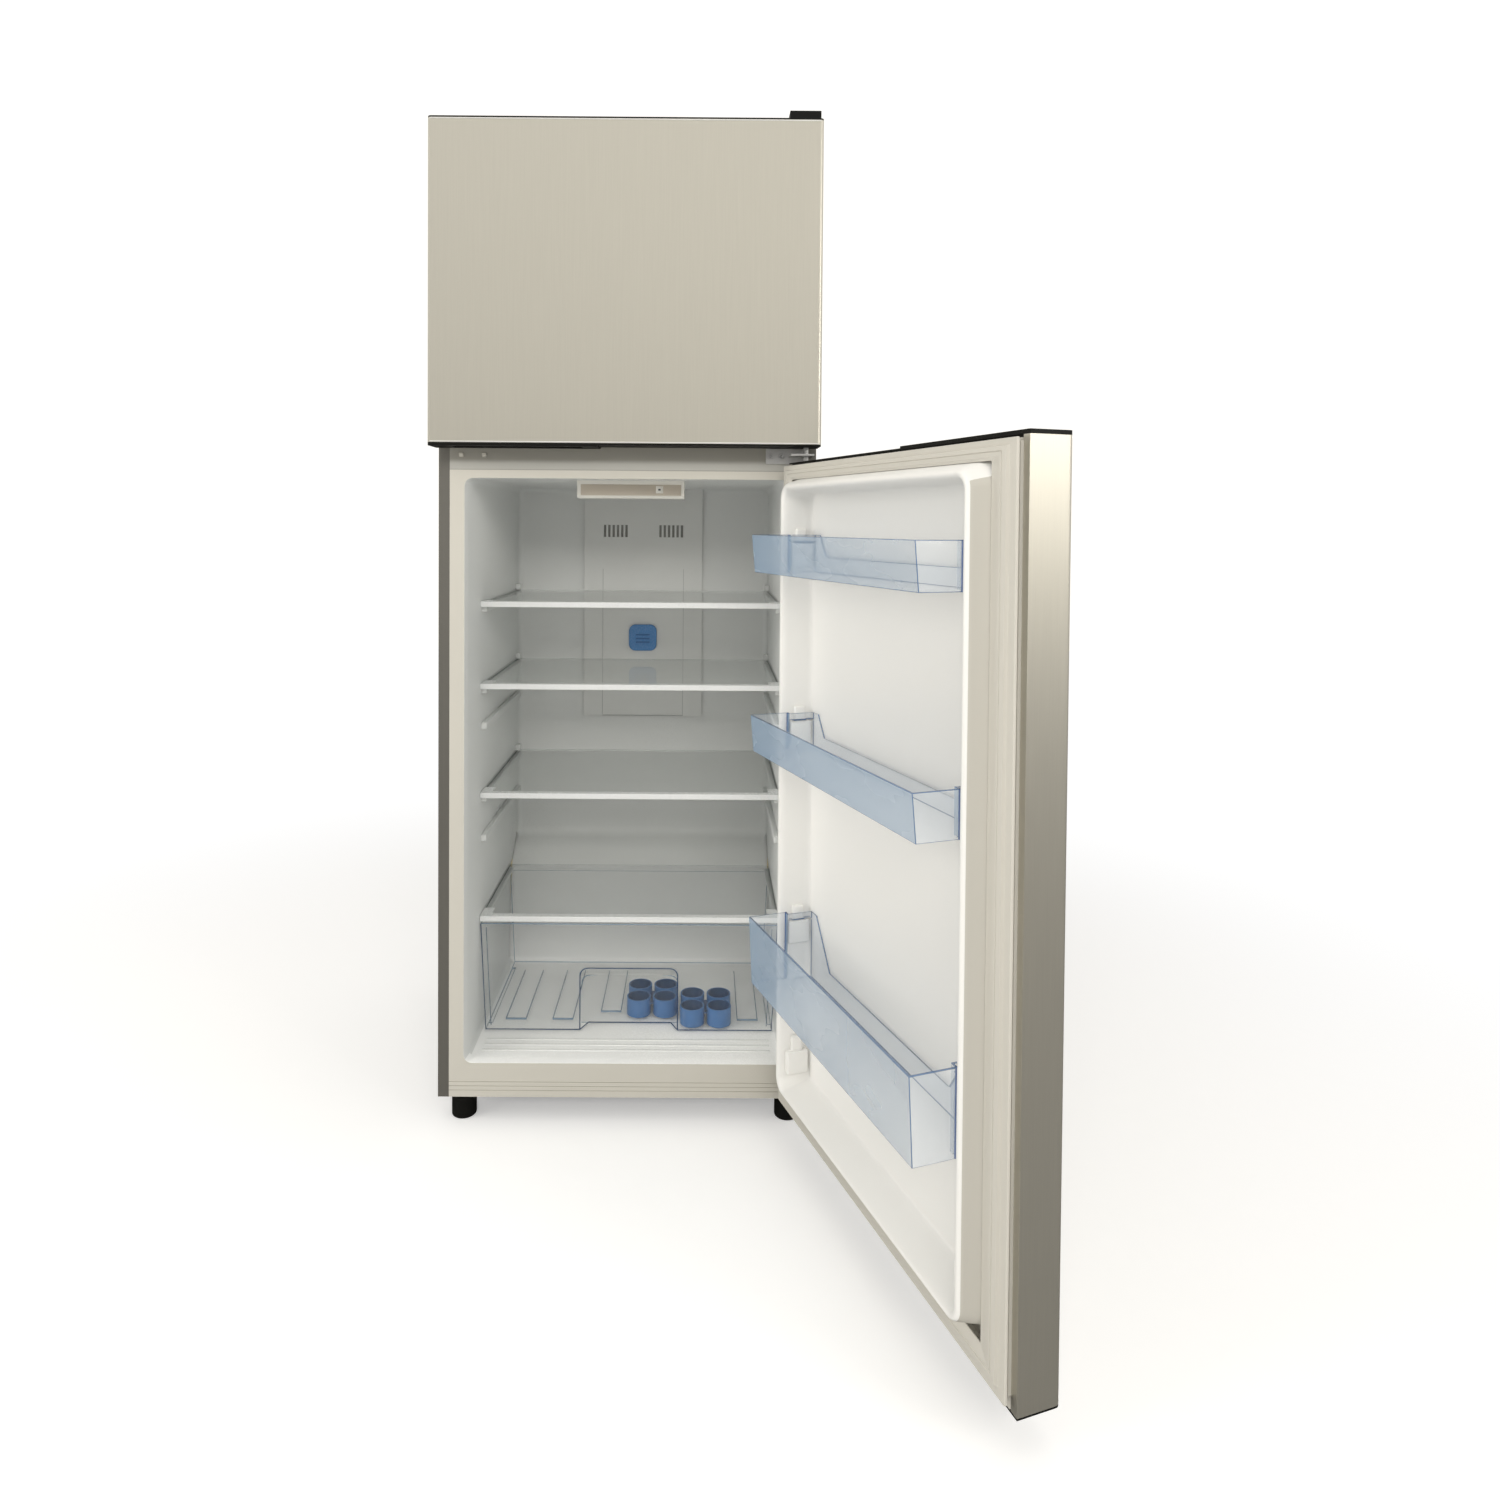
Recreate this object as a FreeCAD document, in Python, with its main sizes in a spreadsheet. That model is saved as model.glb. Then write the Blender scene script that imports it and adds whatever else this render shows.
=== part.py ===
import FreeCAD, Part
import math
import os
import re

import Sketcher

# A two-door top-freezer fridge freezer, in millimetres.
# Origin: on the floor under the middle of the casing, +Z up, the doors face -Y.

doc = FreeCAD.newDocument("fridge_freezer")

SIZES = [
    # the casing and the doors
    ("cabinet_width", 600.0, "casing, side to side"),
    ("cabinet_depth", 505.0, "casing, front flange to back panel"),
    ("foot_height", 43.0, "underside of the casing above the floor"),
    ("fridge_door_height", 1024.0, "lower door"),
    ("freezer_door_height", 500.0, "upper door"),
    ("door_to_door", 18.0, "gap between the two doors"),
    ("door_gap", 16.0, "front flange to the back edge of the door skin"),
    ("door_depth", 54.5, "thickness of the door skin, front to back"),
    ("door_corner", 6.0, "bend radius of the door skin"),
    ("door_open_angle", 109.0, "how far the fridge door stands open"),
    ("hinge_inset", 20.0, "hinge axis in from the side of the casing"),
    ("hinge_forward", 35.0, "hinge axis in front of the flange"),
    ("hinge_plate", 3.0, "thickness of the hinge plates"),
    ("hinge_reach", 12.0, "hinge axis to the edge of a hinge plate"),
    ("hinge_tail", 70.0, "front flange to the back end of a hinge plate"),
    ("hinge_cover", 17.0, "height of the cover over the top hinge"),
    ("screw_head", 4.5, "radius of a hinge screw's head"),
    ("hinge_pin", 4.0, "radius of the hinge pins"),
    ("pin_clearance", 0.06, "radial play of a hinge pin in its bush"),
    ("pin_depth", 9.0, "length of a pin inside the door cap"),
    ("steel", 0.8, "gauge of the casing and the door skins"),
    ("base_steel", 1.5, "gauge of the base pan"),
    ("liner_wall", 2.0, "thickness of the moulded liners"),
    ("return_width", 17.5, "front return of the casing"),
    ("clearance", 0.5, "working gap between separate pieces"),
    # the two compartments
    ("wall_thickness", 41.0, "casing side to the mouth of a compartment"),
    ("lip_flare", 5.0, "how much the mouth is wider than the compartment"),
    ("lip_depth", 12.0, "depth of the flared mouth"),
    ("cavity_depth", 448.0, "front flange to the back wall of a compartment"),
    ("fridge_floor", 55.0, "underside of the casing to the fridge floor"),
    ("seal_margin", 28.0, "door edge to the compartment mouth, at the divider"),
    ("roof_thickness", 45.0, "top of the casing to the freezer ceiling"),
    ("kick_height", 27.5, "kick plate"),
    ("kick_depth", 6.0, "kick plate, front to back"),
    ("rail_inset", 13.5, "compartment mouth to the edge of the divider rail"),
    ("rail_depth", 14.0, "divider rail, front to back"),
    ("hump_front", 365.0, "front flange to the step over the compressor"),
    ("hump_height", 198.0, "fridge floor to the front edge of the step"),
    ("hump_rise", 38.0, "slope of the step, front edge to back wall"),
    ("room_depth", 103.0, "compressor space, front to back"),
    ("room_height", 212.0, "compressor space, bottom to top"),
    # the shelves
    ("shelf_front", 90.0, "front flange to the front of a shelf"),
    ("shelf_gap", 6.0, "back of a shelf to the duct panel"),
    ("shelf_side", 1.0, "end of a shelf to the side wall"),
    ("glass", 4.0, "thickness of the shelf glass"),
    ("trim_height", 9.0, "front bar of a shelf"),
    ("trim_depth", 13.0, "front bar of a shelf, front to back"),
    ("ledge_width", 9.0, "how far a shelf ledge stands out of the wall"),
    ("ledge_height", 12.0, "shelf ledge, top to bottom"),
    ("upper_shelf", 735.0, "fridge floor to the top of the upper shelf"),
    ("middle_shelf", 596.0, "fridge floor to the top of the middle shelf"),
    ("lower_shelf", 411.0, "fridge floor to the top of the lower shelf"),
    ("spare_ledge_high", 530.0, "fridge floor to the higher spare ledge"),
    ("spare_ledge_low", 338.0, "fridge floor to the lower spare ledge"),
    ("cover_height", 201.0, "fridge floor to the top of the crisper cover"),
    ("cover_back", 359.0, "front flange to the back of the crisper cover"),
    # the crisper
    ("drawer_height", 182.0, "crisper drawer"),
    ("drawer_front", 92.0, "front flange to the front of the drawer"),
    ("drawer_draft", 9.0, "how much the drawer narrows to its bottom, each side"),
    ("drawer_wall", 2.2, "wall of the drawer"),
    ("drawer_foot", 3.0, "underside of the drawer above the fridge floor"),
    ("scoop_width", 166.0, "grip recess in the drawer front"),
    ("scoop_height", 106.0, "grip recess, up from the bottom of the drawer"),
    ("scoop_depth", 26.0, "grip recess, front to back"),
    ("egg_cup", 42.0, "outside of an egg cup"),
    ("egg_cup_height", 30.0, "height of an egg cup"),
    ("egg_pitch", 46.0, "egg cup to egg cup"),
    ("egg_gap", 1.5, "egg tray to the walls of the drawer"),
    # the back wall and the lamp box
    ("duct_width", 239.0, "air duct panel"),
    ("duct_height", 462.0, "air duct panel, from the ceiling down"),
    ("duct_thickness", 8.0, "air duct panel, proud of the back wall"),
    ("cap_width", 56.0, "deodorizer cap"),
    ("cap_tall", 53.0, "deodorizer cap, top to bottom"),
    ("cap_proud", 7.0, "deodorizer cap, proud of the duct panel"),
    ("cap_below", 302.0, "ceiling to the middle of the deodorizer cap"),
    ("lamp_width", 178.0, "lamp and control box"),
    ("lamp_height", 29.0, "lamp and control box, ceiling down"),
    ("lamp_front", 72.0, "front flange to the lamp box"),
    ("lamp_depth", 64.0, "lamp and control box, front to back"),
    ("button_radius", 5.0, "temperature button"),
    ("button_offset", 48.0, "temperature button from the middle of the box"),
    ("button_proud", 2.0, "temperature button, proud of the box"),
    ("button_travel", 1.2, "press of the temperature button"),
    # the door linings and the bins
    ("seal_edge", 5.0, "door edge to the outside of the gasket"),
    ("seal_low", 11.0, "how much higher the fridge gasket starts at the bottom"),
    ("seal_width", 31.0, "width of the gasket face"),
    ("seal_gap", 0.4, "gasket to the front flange, door shut"),
    ("dike_height", 38.0, "door lining ridge above the back of the door"),
    ("dike_inset", 41.0, "door edge to the foot of the ridge, sides"),
    ("dike_slope", 12.0, "foot of the ridge to its crest"),
    ("dike_crest", 10.0, "width of the crest"),
    ("dike_ends", 38.0, "door edge to the foot of the ridge, at the divider"),
    ("dike_low", 60.0, "fridge door bottom to the foot of the ridge"),
    ("recess_depth", 48.0, "crest of the ridge to the recessed panel"),
    ("recess_draft", 5.0, "slope of the recess walls"),
    ("bin_depth", 99.0, "door bin, back to front"),
    ("bin_wall", 2.4, "wall of a door bin"),
    ("bin_gap", 1.5, "end of a bin to the recess wall"),
    ("bin_lean", 5.0, "how much a bin's front leans"),
    ("upper_bin_height", 56.0, "upper bin"),
    ("middle_bin_height", 55.0, "middle bin"),
    ("bottle_bin_height", 100.0, "bottle bin"),
    ("upper_bin_drop", 170.0, "fridge door top to the bottom of the upper bin"),
    ("middle_bin_drop", 436.0, "fridge door top to the bottom of the middle bin"),
    ("bottle_bin_drop", 783.0, "fridge door top to the bottom of the bottle bin"),
    ("freezer_bin_height", 70.0, "freezer door bin"),
    ("freezer_bin_high", 270.0, "freezer door bottom to the higher freezer bin"),
    ("freezer_bin_low", 62.0, "freezer door bottom to the lower freezer bin"),
    ("lug_depth", 9.0, "how far a bin lug stands out of the recess wall"),
    ("lug_width", 34.0, "bin lug, front to back"),
    ("lug_height", 34.0, "seat of a bin lug above its lower end"),
    ("knob_height", 22.0, "knob on top of a bin lug"),
    ("knob_width", 18.0, "knob on top of a bin lug, front to back"),
    ("lug_back", 4.0, "recessed panel to the back of a lug"),
    # caps and grips of the doors
    ("cap_band", 5.0, "visible edge of a door cap"),
    ("cap_plug", 12.0, "how far a door cap reaches into the skin"),
    ("cap_step", 2.5, "raised part of a cap along the grip"),
    ("grip_start", 41.0, "middle of the door to the raised part of the cap"),
    ("grip_width", 200.0, "finger pocket in a door cap"),
    ("grip_depth", 24.0, "finger pocket, top to bottom"),
    ("grip_wide", 26.0, "finger pocket, front to back"),
    ("grip_wall", 2.0, "wall of the finger pocket"),
    # feet, rollers and machinery
    ("foot_radius", 20.0, "levelling foot"),
    ("foot_inset", 36.0, "side of the casing to a foot"),
    ("foot_setback", 30.0, "front flange to a foot"),
    ("stud_radius", 4.0, "threaded stud of a foot"),
    ("roller_radius", 20.0, "rear roller"),
    ("roller_width", 18.0, "rear roller"),
    ("roller_setback", 60.0, "back panel to the roller axle"),
    ("axle_radius", 4.0, "roller axle"),
    ("compressor_radius", 55.0, "compressor shell"),
    ("compressor_height", 140.0, "compressor, base plate to top"),
    ("grommet_height", 12.0, "rubber mount under the compressor"),
    ("compressor_side", 120.0, "middle of the casing to the compressor"),
    ("tube_radius", 2.4, "condenser tube"),
    ("condenser_width", 470.0, "condenser, side to side"),
    ("condenser_height", 980.0, "condenser, bottom to top"),
    ("condenser_gap", 9.0, "back panel to the condenser tube"),
    ("wire_radius", 0.8, "condenser wire"),
    ("cooler_depth", 88.0, "freezer cover to the freezer's back wall"),
    ("cover_plate", 6.0, "thickness of the freezer's rear cover"),
    ("fan_radius", 52.0, "evaporator fan"),
]

sheet = doc.addObject("Spreadsheet::Sheet", "Sizes")
for row, (alias, value, note) in enumerate(SIZES, start=1):
    sheet.set(f"A{row}", alias)
    sheet.set(f"B{row}", str(value))
    sheet.setAlias(f"B{row}", alias)
    sheet.set(f"C{row}", note)
doc.recompute()

VALUES = {alias: value for alias, value, note in SIZES}


def formula(text):
    """An expression of the sheet, from plain size names."""
    return re.sub(r"[a-z][a-z_]*", lambda m: "Sizes." + m[0] if m[0] in VALUES else m[0], str(text))


def bind(thing, **formulas):
    """Tie properties of an object to the sheet; double underscores stand for dots."""
    for prop, text in formulas.items():
        thing.setExpression(prop.replace("__", "."), formula(text))
    return thing


# Places that many pieces share, as formulas of the sheet
HALF = "(cabinet_width / 2)"
FRONT = "(-cabinet_depth / 2)"
BACK = "(cabinet_depth / 2)"
BOTTOM = "foot_height"
FRIDGE_TOP = "(foot_height + fridge_door_height)"
FREEZER_BOTTOM = "(foot_height + fridge_door_height + door_to_door)"
TOP = "(foot_height + fridge_door_height + door_to_door + freezer_door_height)"
LIP_HALF = "(cabinet_width / 2 - wall_thickness)"
ROOM_HALF = "(cabinet_width / 2 - wall_thickness - lip_flare)"
FLOOR = "(foot_height + fridge_floor)"
CEILING = f"({FRIDGE_TOP} - seal_margin)"
FREEZER_LOW = f"({FREEZER_BOTTOM} + seal_margin)"
FREEZER_HIGH = f"({TOP} - roof_thickness)"
CAVITY_BACK = f"({FRONT} + cavity_depth)"
MACHINE_FRONT = f"({BACK} - room_depth)"
MACHINE_TOP = "(foot_height + room_height)"
BASE_TOP = "(foot_height + base_steel)"
FLANGE_HALF = "(cabinet_width / 2 - return_width)"
RAIL_LOW = f"({CEILING} + rail_inset)"
RAIL_HIGH = f"({FREEZER_LOW} - rail_inset)"
DOOR_BACK = f"({FRONT} - door_gap)"
DOOR_FRONT = f"({FRONT} - door_gap - door_depth)"
HINGE_X = "(cabinet_width / 2 - hinge_inset)"
HINGE_Y = f"({FRONT} - hinge_forward)"


def box(name, x, y, z):
    """A block between two formulas along each axis."""
    block = doc.addObject("Part::Box", name)
    bind(block, Length=f"({x[1]}) - ({x[0]})", Width=f"({y[1]}) - ({y[0]})", Height=f"({z[1]}) - ({z[0]})")
    return bind(block, Placement__Base__x=x[0], Placement__Base__y=y[0], Placement__Base__z=z[0])


TURN = {"x": ("y", 90), "y": ("x", -90), "z": ("z", 0)}


def cylinder(name, axis, radius, start, length):
    """A round bar along one axis, from its start point."""
    bar = doc.addObject("Part::Cylinder", name)
    about, angle = TURN[axis]
    direction = FreeCAD.Vector(about == "x", about == "y", about == "z")
    bar.Placement = FreeCAD.Placement(FreeCAD.Vector(), FreeCAD.Rotation(direction, angle))
    bind(bar, Radius=radius, Height=length)
    return bind(bar, Placement__Base__x=start[0], Placement__Base__y=start[1], Placement__Base__z=start[2])


def taper(name, y, x_near, z_near, x_far, z_far):
    """A block whose rectangle changes from the near plane to the far plane along Y."""
    wedge = doc.addObject("Part::Wedge", name)
    bind(wedge, Ymin=y[0], Ymax=y[1], Xmin=x_near[0], Xmax=x_near[1], Zmin=z_near[0], Zmax=z_near[1])
    return bind(wedge, X2min=x_far[0], X2max=x_far[1], Z2min=z_far[0], Z2max=z_far[1])


PLANES = {"XY": ("XY_Plane", 1), "XZ": ("XZ_Plane", -1), "YZ": ("YZ_Plane", 1)}


def prism(name, plane, corners, low, high, rounds=()):
    """A PartDesign body: a sketched outline padded between two planes, with some edges rounded.

    corners are pairs of formulas; rounds are pairs of a radius formula and the corner numbers
    whose edges along the pad take that radius.
    """
    body = doc.addObject("PartDesign::Body", name)
    role, sign = PLANES[plane]
    sketch = body.newObject("Sketcher::SketchObject", name + "_outline")
    sketch.AttachmentSupport = [(next(o for o in body.Origin.OriginFeatures if o.Role == role), "")]
    sketch.MapMode = "FlatFace"
    bind(sketch, AttachmentOffset__Base__z=low if sign > 0 else f"-({high})")
    turns = [2 * math.pi * index / len(corners) for index in range(len(corners))]
    rough = [FreeCAD.Vector(math.cos(turn), math.sin(turn), 0) for turn in turns]
    for here, there in zip(rough, rough[1:] + rough[:1]):
        sketch.addGeometry(Part.LineSegment(here, there), False)
    for index in range(len(corners)):
        sketch.addConstraint(Sketcher.Constraint("Coincident", index, 2, (index + 1) % len(corners), 1))
    for index, corner in enumerate(corners):
        for kind, text, start in zip(("DistanceX", "DistanceY"), corner, rough[index]):
            place = sketch.addConstraint(Sketcher.Constraint(kind, -1, 1, index, 1, start))
            sketch.setExpression(f"Constraints[{place}]", formula(text))
    pad = body.newObject("PartDesign::Pad", name + "_pad")
    pad.Profile = sketch
    bind(pad, Length=f"({high}) - ({low})")
    for count, (radius, wanted) in enumerate(rounds):
        doc.recompute()
        spots = [sketch.Geometry[index].StartPoint for index in wanted]
        base = body.Tip
        fillet = body.newObject("PartDesign::Fillet", f"{name}_round_{count}")
        fillet.Base = (base, upright_edges(base.Shape, plane, spots))
        bind(fillet, Radius=radius)
    return body


ACROSS = {"XY": (0, 1), "XZ": (0, 2), "YZ": (1, 2)}
SAME_POINT = 0.001


def upright_edges(shape, plane, spots):
    """Names of the edges that run along the pad and stand on the given sketch points."""
    first, second = ACROSS[plane]
    names = []
    for index, edge in enumerate(shape.Edges, start=1):
        ends = [vertex.Point for vertex in edge.Vertexes]
        for spot in spots:
            near = [math.hypot(end[first] - spot.x, end[second] - spot.y) < SAME_POINT for end in ends]
            if len(near) == 2 and all(near):
                names.append(f"Edge{index}")
    return names


def join(name, *parts):
    """One solid from several overlapping ones."""
    union = doc.addObject("Part::MultiFuse", name)
    union.Shapes = list(parts)
    return union


def carve(name, base, *tools):
    """A solid with one or more others taken out of it."""
    result = doc.addObject("Part::Cut", name)
    result.Base = base
    result.Tool = tools[0] if len(tools) == 1 else join(name + "_tools", *tools)
    return result


def group(name, *parts):
    """Several separate solids of one node."""
    together = doc.addObject("Part::Compound", name)
    together.Links = list(parts)
    return together


PIECES = []


def piece(label, thing):
    """Mark a finished sub-part."""
    thing.Label = label
    PIECES.append(thing)
    return thing


def hang(label, thing):
    """Mark a sub-part of the fridge door, swung open about the hinge axis."""
    swung = group(f"{label}_swung", thing)
    swung.Placement = FreeCAD.Placement(FreeCAD.Vector(), FreeCAD.Rotation(FreeCAD.Vector(0, 0, 1), 1))
    cosine = "cos(door_open_angle * 1 deg)"
    sine = "sin(door_open_angle * 1 deg)"
    bind(swung, Placement__Rotation__Angle="door_open_angle")
    bind(swung, Placement__Base__x=f"{HINGE_X} - {HINGE_X} * {cosine} + {HINGE_Y} * {sine}")
    bind(swung, Placement__Base__y=f"{HINGE_Y} - {HINGE_X} * {sine} - {HINGE_Y} * {cosine}")
    return piece(label, swung)


def both(formula_half):
    """A span that is the same on both sides of the middle."""
    return (f"-({formula_half})", f"({formula_half})")


# Outer casing: one folded sheet round the sides and the top, with a narrow front return
casing_block = box("casing_block", both(HALF), (FRONT, BACK), (BOTTOM, TOP))
casing_inside = box(
    "casing_inside",
    both(f"{HALF} - steel"),
    (f"{FRONT} + steel", f"{BACK} + steel"),
    (f"{BOTTOM} - steel", f"{TOP} - steel"),
)
casing_mouth = box(
    "casing_mouth",
    both(FLANGE_HALF),
    (f"{FRONT} - steel", f"{FRONT} + 2 * steel"),
    (f"{BOTTOM} - steel", f"{TOP} - return_width"),
)
piece("outer_casing", carve("casing_sheet", casing_block, casing_inside, casing_mouth))

# Back panel: one sheet that steps forward over the compressor space
piece(
    "back_panel",
    prism(
        "back_sheet",
        "YZ",
        [
            (MACHINE_FRONT, BASE_TOP),
            (MACHINE_FRONT, MACHINE_TOP),
            (BACK, MACHINE_TOP),
            (BACK, f"{TOP} - steel"),
            (f"{BACK} - steel", f"{TOP} - steel"),
            (f"{BACK} - steel", f"{MACHINE_TOP} + steel"),
            (f"{MACHINE_FRONT} - steel", f"{MACHINE_TOP} + steel"),
            (f"{MACHINE_FRONT} - steel", BASE_TOP),
        ],
        f"-({HALF} - steel)",
        f"({HALF} - steel)",
    ),
)

# Kick plate: a moulded strip with three grooves, below the fridge mouth
KICK_TOP = "(foot_height + kick_height)"
kick_block = box("kick_block", both(FLANGE_HALF), (FRONT, f"{FRONT} + kick_depth"), (BOTTOM, KICK_TOP))
kick_grooves = [
    box(
        f"kick_groove_{step}",
        both(f"{HALF}"),
        (f"{FRONT} - kick_depth", f"{FRONT} + kick_depth / 6"),
        (
            f"foot_height + kick_height * {step} / 8",
            f"foot_height + kick_height * {step} / 8 + kick_height / 24",
        ),
    )
    for step in (3, 5, 7)
]
piece("kick_plate", carve("kick_strip", kick_block, *kick_grooves))

# Divider rail: a channel that covers the foam between the two compartments
divider = piece(
    "divider_rail",
    prism(
        "divider_channel",
        "YZ",
        [
            (FRONT, RAIL_LOW),
            (FRONT, RAIL_HIGH),
            (f"{FRONT} + rail_depth", RAIL_HIGH),
            (f"{FRONT} + rail_depth", f"{RAIL_HIGH} - liner_wall"),
            (f"{FRONT} + liner_wall", f"{RAIL_HIGH} - liner_wall"),
            (f"{FRONT} + liner_wall", f"{RAIL_LOW} + liner_wall"),
            (f"{FRONT} + rail_depth", f"{RAIL_LOW} + liner_wall"),
            (f"{FRONT} + rail_depth", RAIL_LOW),
        ],
        f"-{FLANGE_HALF}",
        FLANGE_HALF,
    ),
)

# Compartments: the hollow inside each liner, and the same hollow grown by the liner's wall
FRIDGE_SIDE = [
    (f"{FRONT} + lip_depth", f"{FLOOR} + lip_flare - GROW"),
    (f"{FRONT} + hump_front + GROW", f"{FLOOR} + lip_flare - GROW"),
    (f"{FRONT} + hump_front + GROW", f"{FLOOR} + hump_height - GROW"),
    (f"{CAVITY_BACK} + GROW", f"{FLOOR} + hump_height + hump_rise - GROW"),
    (f"{CAVITY_BACK} + GROW", f"{CEILING} + GROW"),
    (f"{FRONT} + lip_depth", f"{CEILING} + GROW"),
]
FREEZER_SIDE = [
    (f"{FRONT} + lip_depth", f"{FREEZER_LOW} + lip_flare - GROW"),
    (f"{CAVITY_BACK} + GROW", f"{FREEZER_LOW} + lip_flare - GROW"),
    (f"{CAVITY_BACK} + GROW", f"{FREEZER_HIGH} + GROW"),
    (f"{FRONT} + lip_depth", f"{FREEZER_HIGH} + GROW"),
]


def around(middle, half):
    """A span on both sides of a place."""
    return (f"{middle} - ({half})", f"{middle} + ({half})")


def hollow(name, side, low, high, grow):
    """A compartment with its flared mouth, grown outwards by a wall."""
    corners = [tuple(text.replace("GROW", grow) for text in corner) for corner in side]
    core = prism(name + "_core", "YZ", corners, f"-({ROOM_HALF} + {grow})", f"({ROOM_HALF} + {grow})")
    mouth = taper(
        name + "_mouth",
        (FRONT, f"{FRONT} + lip_depth"),
        both(f"{LIP_HALF} + {grow}"),
        (f"{low} - {grow}", f"{high} + {grow}"),
        both(f"{ROOM_HALF} + {grow}"),
        (f"{low} + lip_flare - {grow}", f"{high} + {grow}"),
    )
    return join(name, core, mouth)


fridge_inside = hollow("fridge_inside", FRIDGE_SIDE, FLOOR, CEILING, "0")
fridge_outside = hollow("fridge_outside", FRIDGE_SIDE, FLOOR, CEILING, "liner_wall")
freezer_inside = hollow("freezer_inside", FREEZER_SIDE, FREEZER_LOW, FREEZER_HIGH, "0")
freezer_outside = hollow("freezer_outside", FREEZER_SIDE, FREEZER_LOW, FREEZER_HIGH, "liner_wall")

# Shelf ledges: moulded ribs on the side walls, a spare pair between the shelves, and a
# hold-down stop above the back of each shelf
SHELF_BACK = f"({CAVITY_BACK} - duct_thickness - shelf_gap)"
SHELF_Y = (f"{FRONT} + shelf_front + trim_depth + clearance", f"{SHELF_BACK}")
SEATS = {
    "upper": f"({FLOOR} + upper_shelf - glass - clearance)",
    "middle": f"({FLOOR} + middle_shelf - glass - clearance)",
    "lower": f"({FLOOR} + lower_shelf - glass - clearance)",
    "cover": f"({FLOOR} + cover_height - glass - clearance)",
    "spare_high": f"({FLOOR} + spare_ledge_high)",
    "spare_low": f"({FLOOR} + spare_ledge_low)",
}
COVER_BACK = f"({FRONT} + cover_back)"
SIDES = {"left": -1, "right": 1}


def wall_span(sign, inner, outer):
    """A span from the inner to the outer distance on one side of the middle."""
    return (inner, outer) if sign > 0 else (f"-({outer})", f"-({inner})")


ledges = []
for side, sign in SIDES.items():
    across = wall_span(sign, f"{ROOM_HALF} - ledge_width", f"{ROOM_HALF} + liner_wall / 2")
    for seat, level in SEATS.items():
        thick = "ledge_height / 2" if seat == "cover" else "ledge_height"
        along = (SHELF_Y[0], COVER_BACK) if seat == "cover" else SHELF_Y
        ledges.append(box(f"ledge_{seat}_{side}", across, along, (f"{level} - {thick}", level)))
        if seat in ("upper", "middle", "lower"):
            stop_low = f"{level} + glass + 2 * clearance"
            stop = (f"{SHELF_BACK} - 2 * ledge_width", SHELF_BACK)
            ledges.append(box(f"stop_{seat}_{side}", across, stop, (stop_low, f"{stop_low} + ledge_height")))

flange_y = (FRONT, f"{FRONT} + liner_wall")
fridge_flange = box("fridge_flange", both(FLANGE_HALF), flange_y, (KICK_TOP, RAIL_LOW))
fridge_shell = carve("fridge_shell", join("fridge_tub", fridge_flange, fridge_outside), fridge_inside)
piece("fridge_liner", join("fridge_moulding", fridge_shell, *ledges))

freezer_flange = box(
    "freezer_flange",
    both(FLANGE_HALF),
    (FRONT, f"{FRONT} + liner_wall"),
    (RAIL_HIGH, f"{TOP} - return_width"),
)
FREEZER_SEAT = f"(({FREEZER_LOW} + {FREEZER_HIGH}) / 2)"
freezer_ledges = [
    box(
        f"freezer_ledge_{side}",
        wall_span(sign, f"{ROOM_HALF} - ledge_width", f"{ROOM_HALF} + liner_wall / 2"),
        (f"{FRONT} + shelf_front + trim_depth + clearance", f"{CAVITY_BACK} - cooler_depth - cover_plate"),
        (f"{FREEZER_SEAT} - ledge_height", FREEZER_SEAT),
    )
    for side, sign in SIDES.items()
]
freezer_shell = carve("freezer_shell", join("freezer_tub", freezer_flange, freezer_outside), freezer_inside)
piece("freezer_liner", join("freezer_moulding", freezer_shell, *freezer_ledges))

# Insulation: the foam that fills the casing round both liners and over the compressor space
foam_block = box(
    "foam_block",
    both(f"{HALF} - steel"),
    (f"{FRONT} + liner_wall", f"{BACK} - steel"),
    (BASE_TOP, f"{TOP} - steel"),
)
foam_step = box(
    "foam_step",
    both(HALF),
    (f"{MACHINE_FRONT} - steel", BACK),
    (BOTTOM, f"{MACHINE_TOP} + steel"),
)
foam_kick = box("foam_kick", both(HALF), (FRONT, f"{FRONT} + kick_depth"), (BOTTOM, KICK_TOP))
piece(
    "cabinet_foam",
    carve("foam_filling", foam_block, foam_step, foam_kick, fridge_outside, freezer_outside, divider),
)

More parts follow.
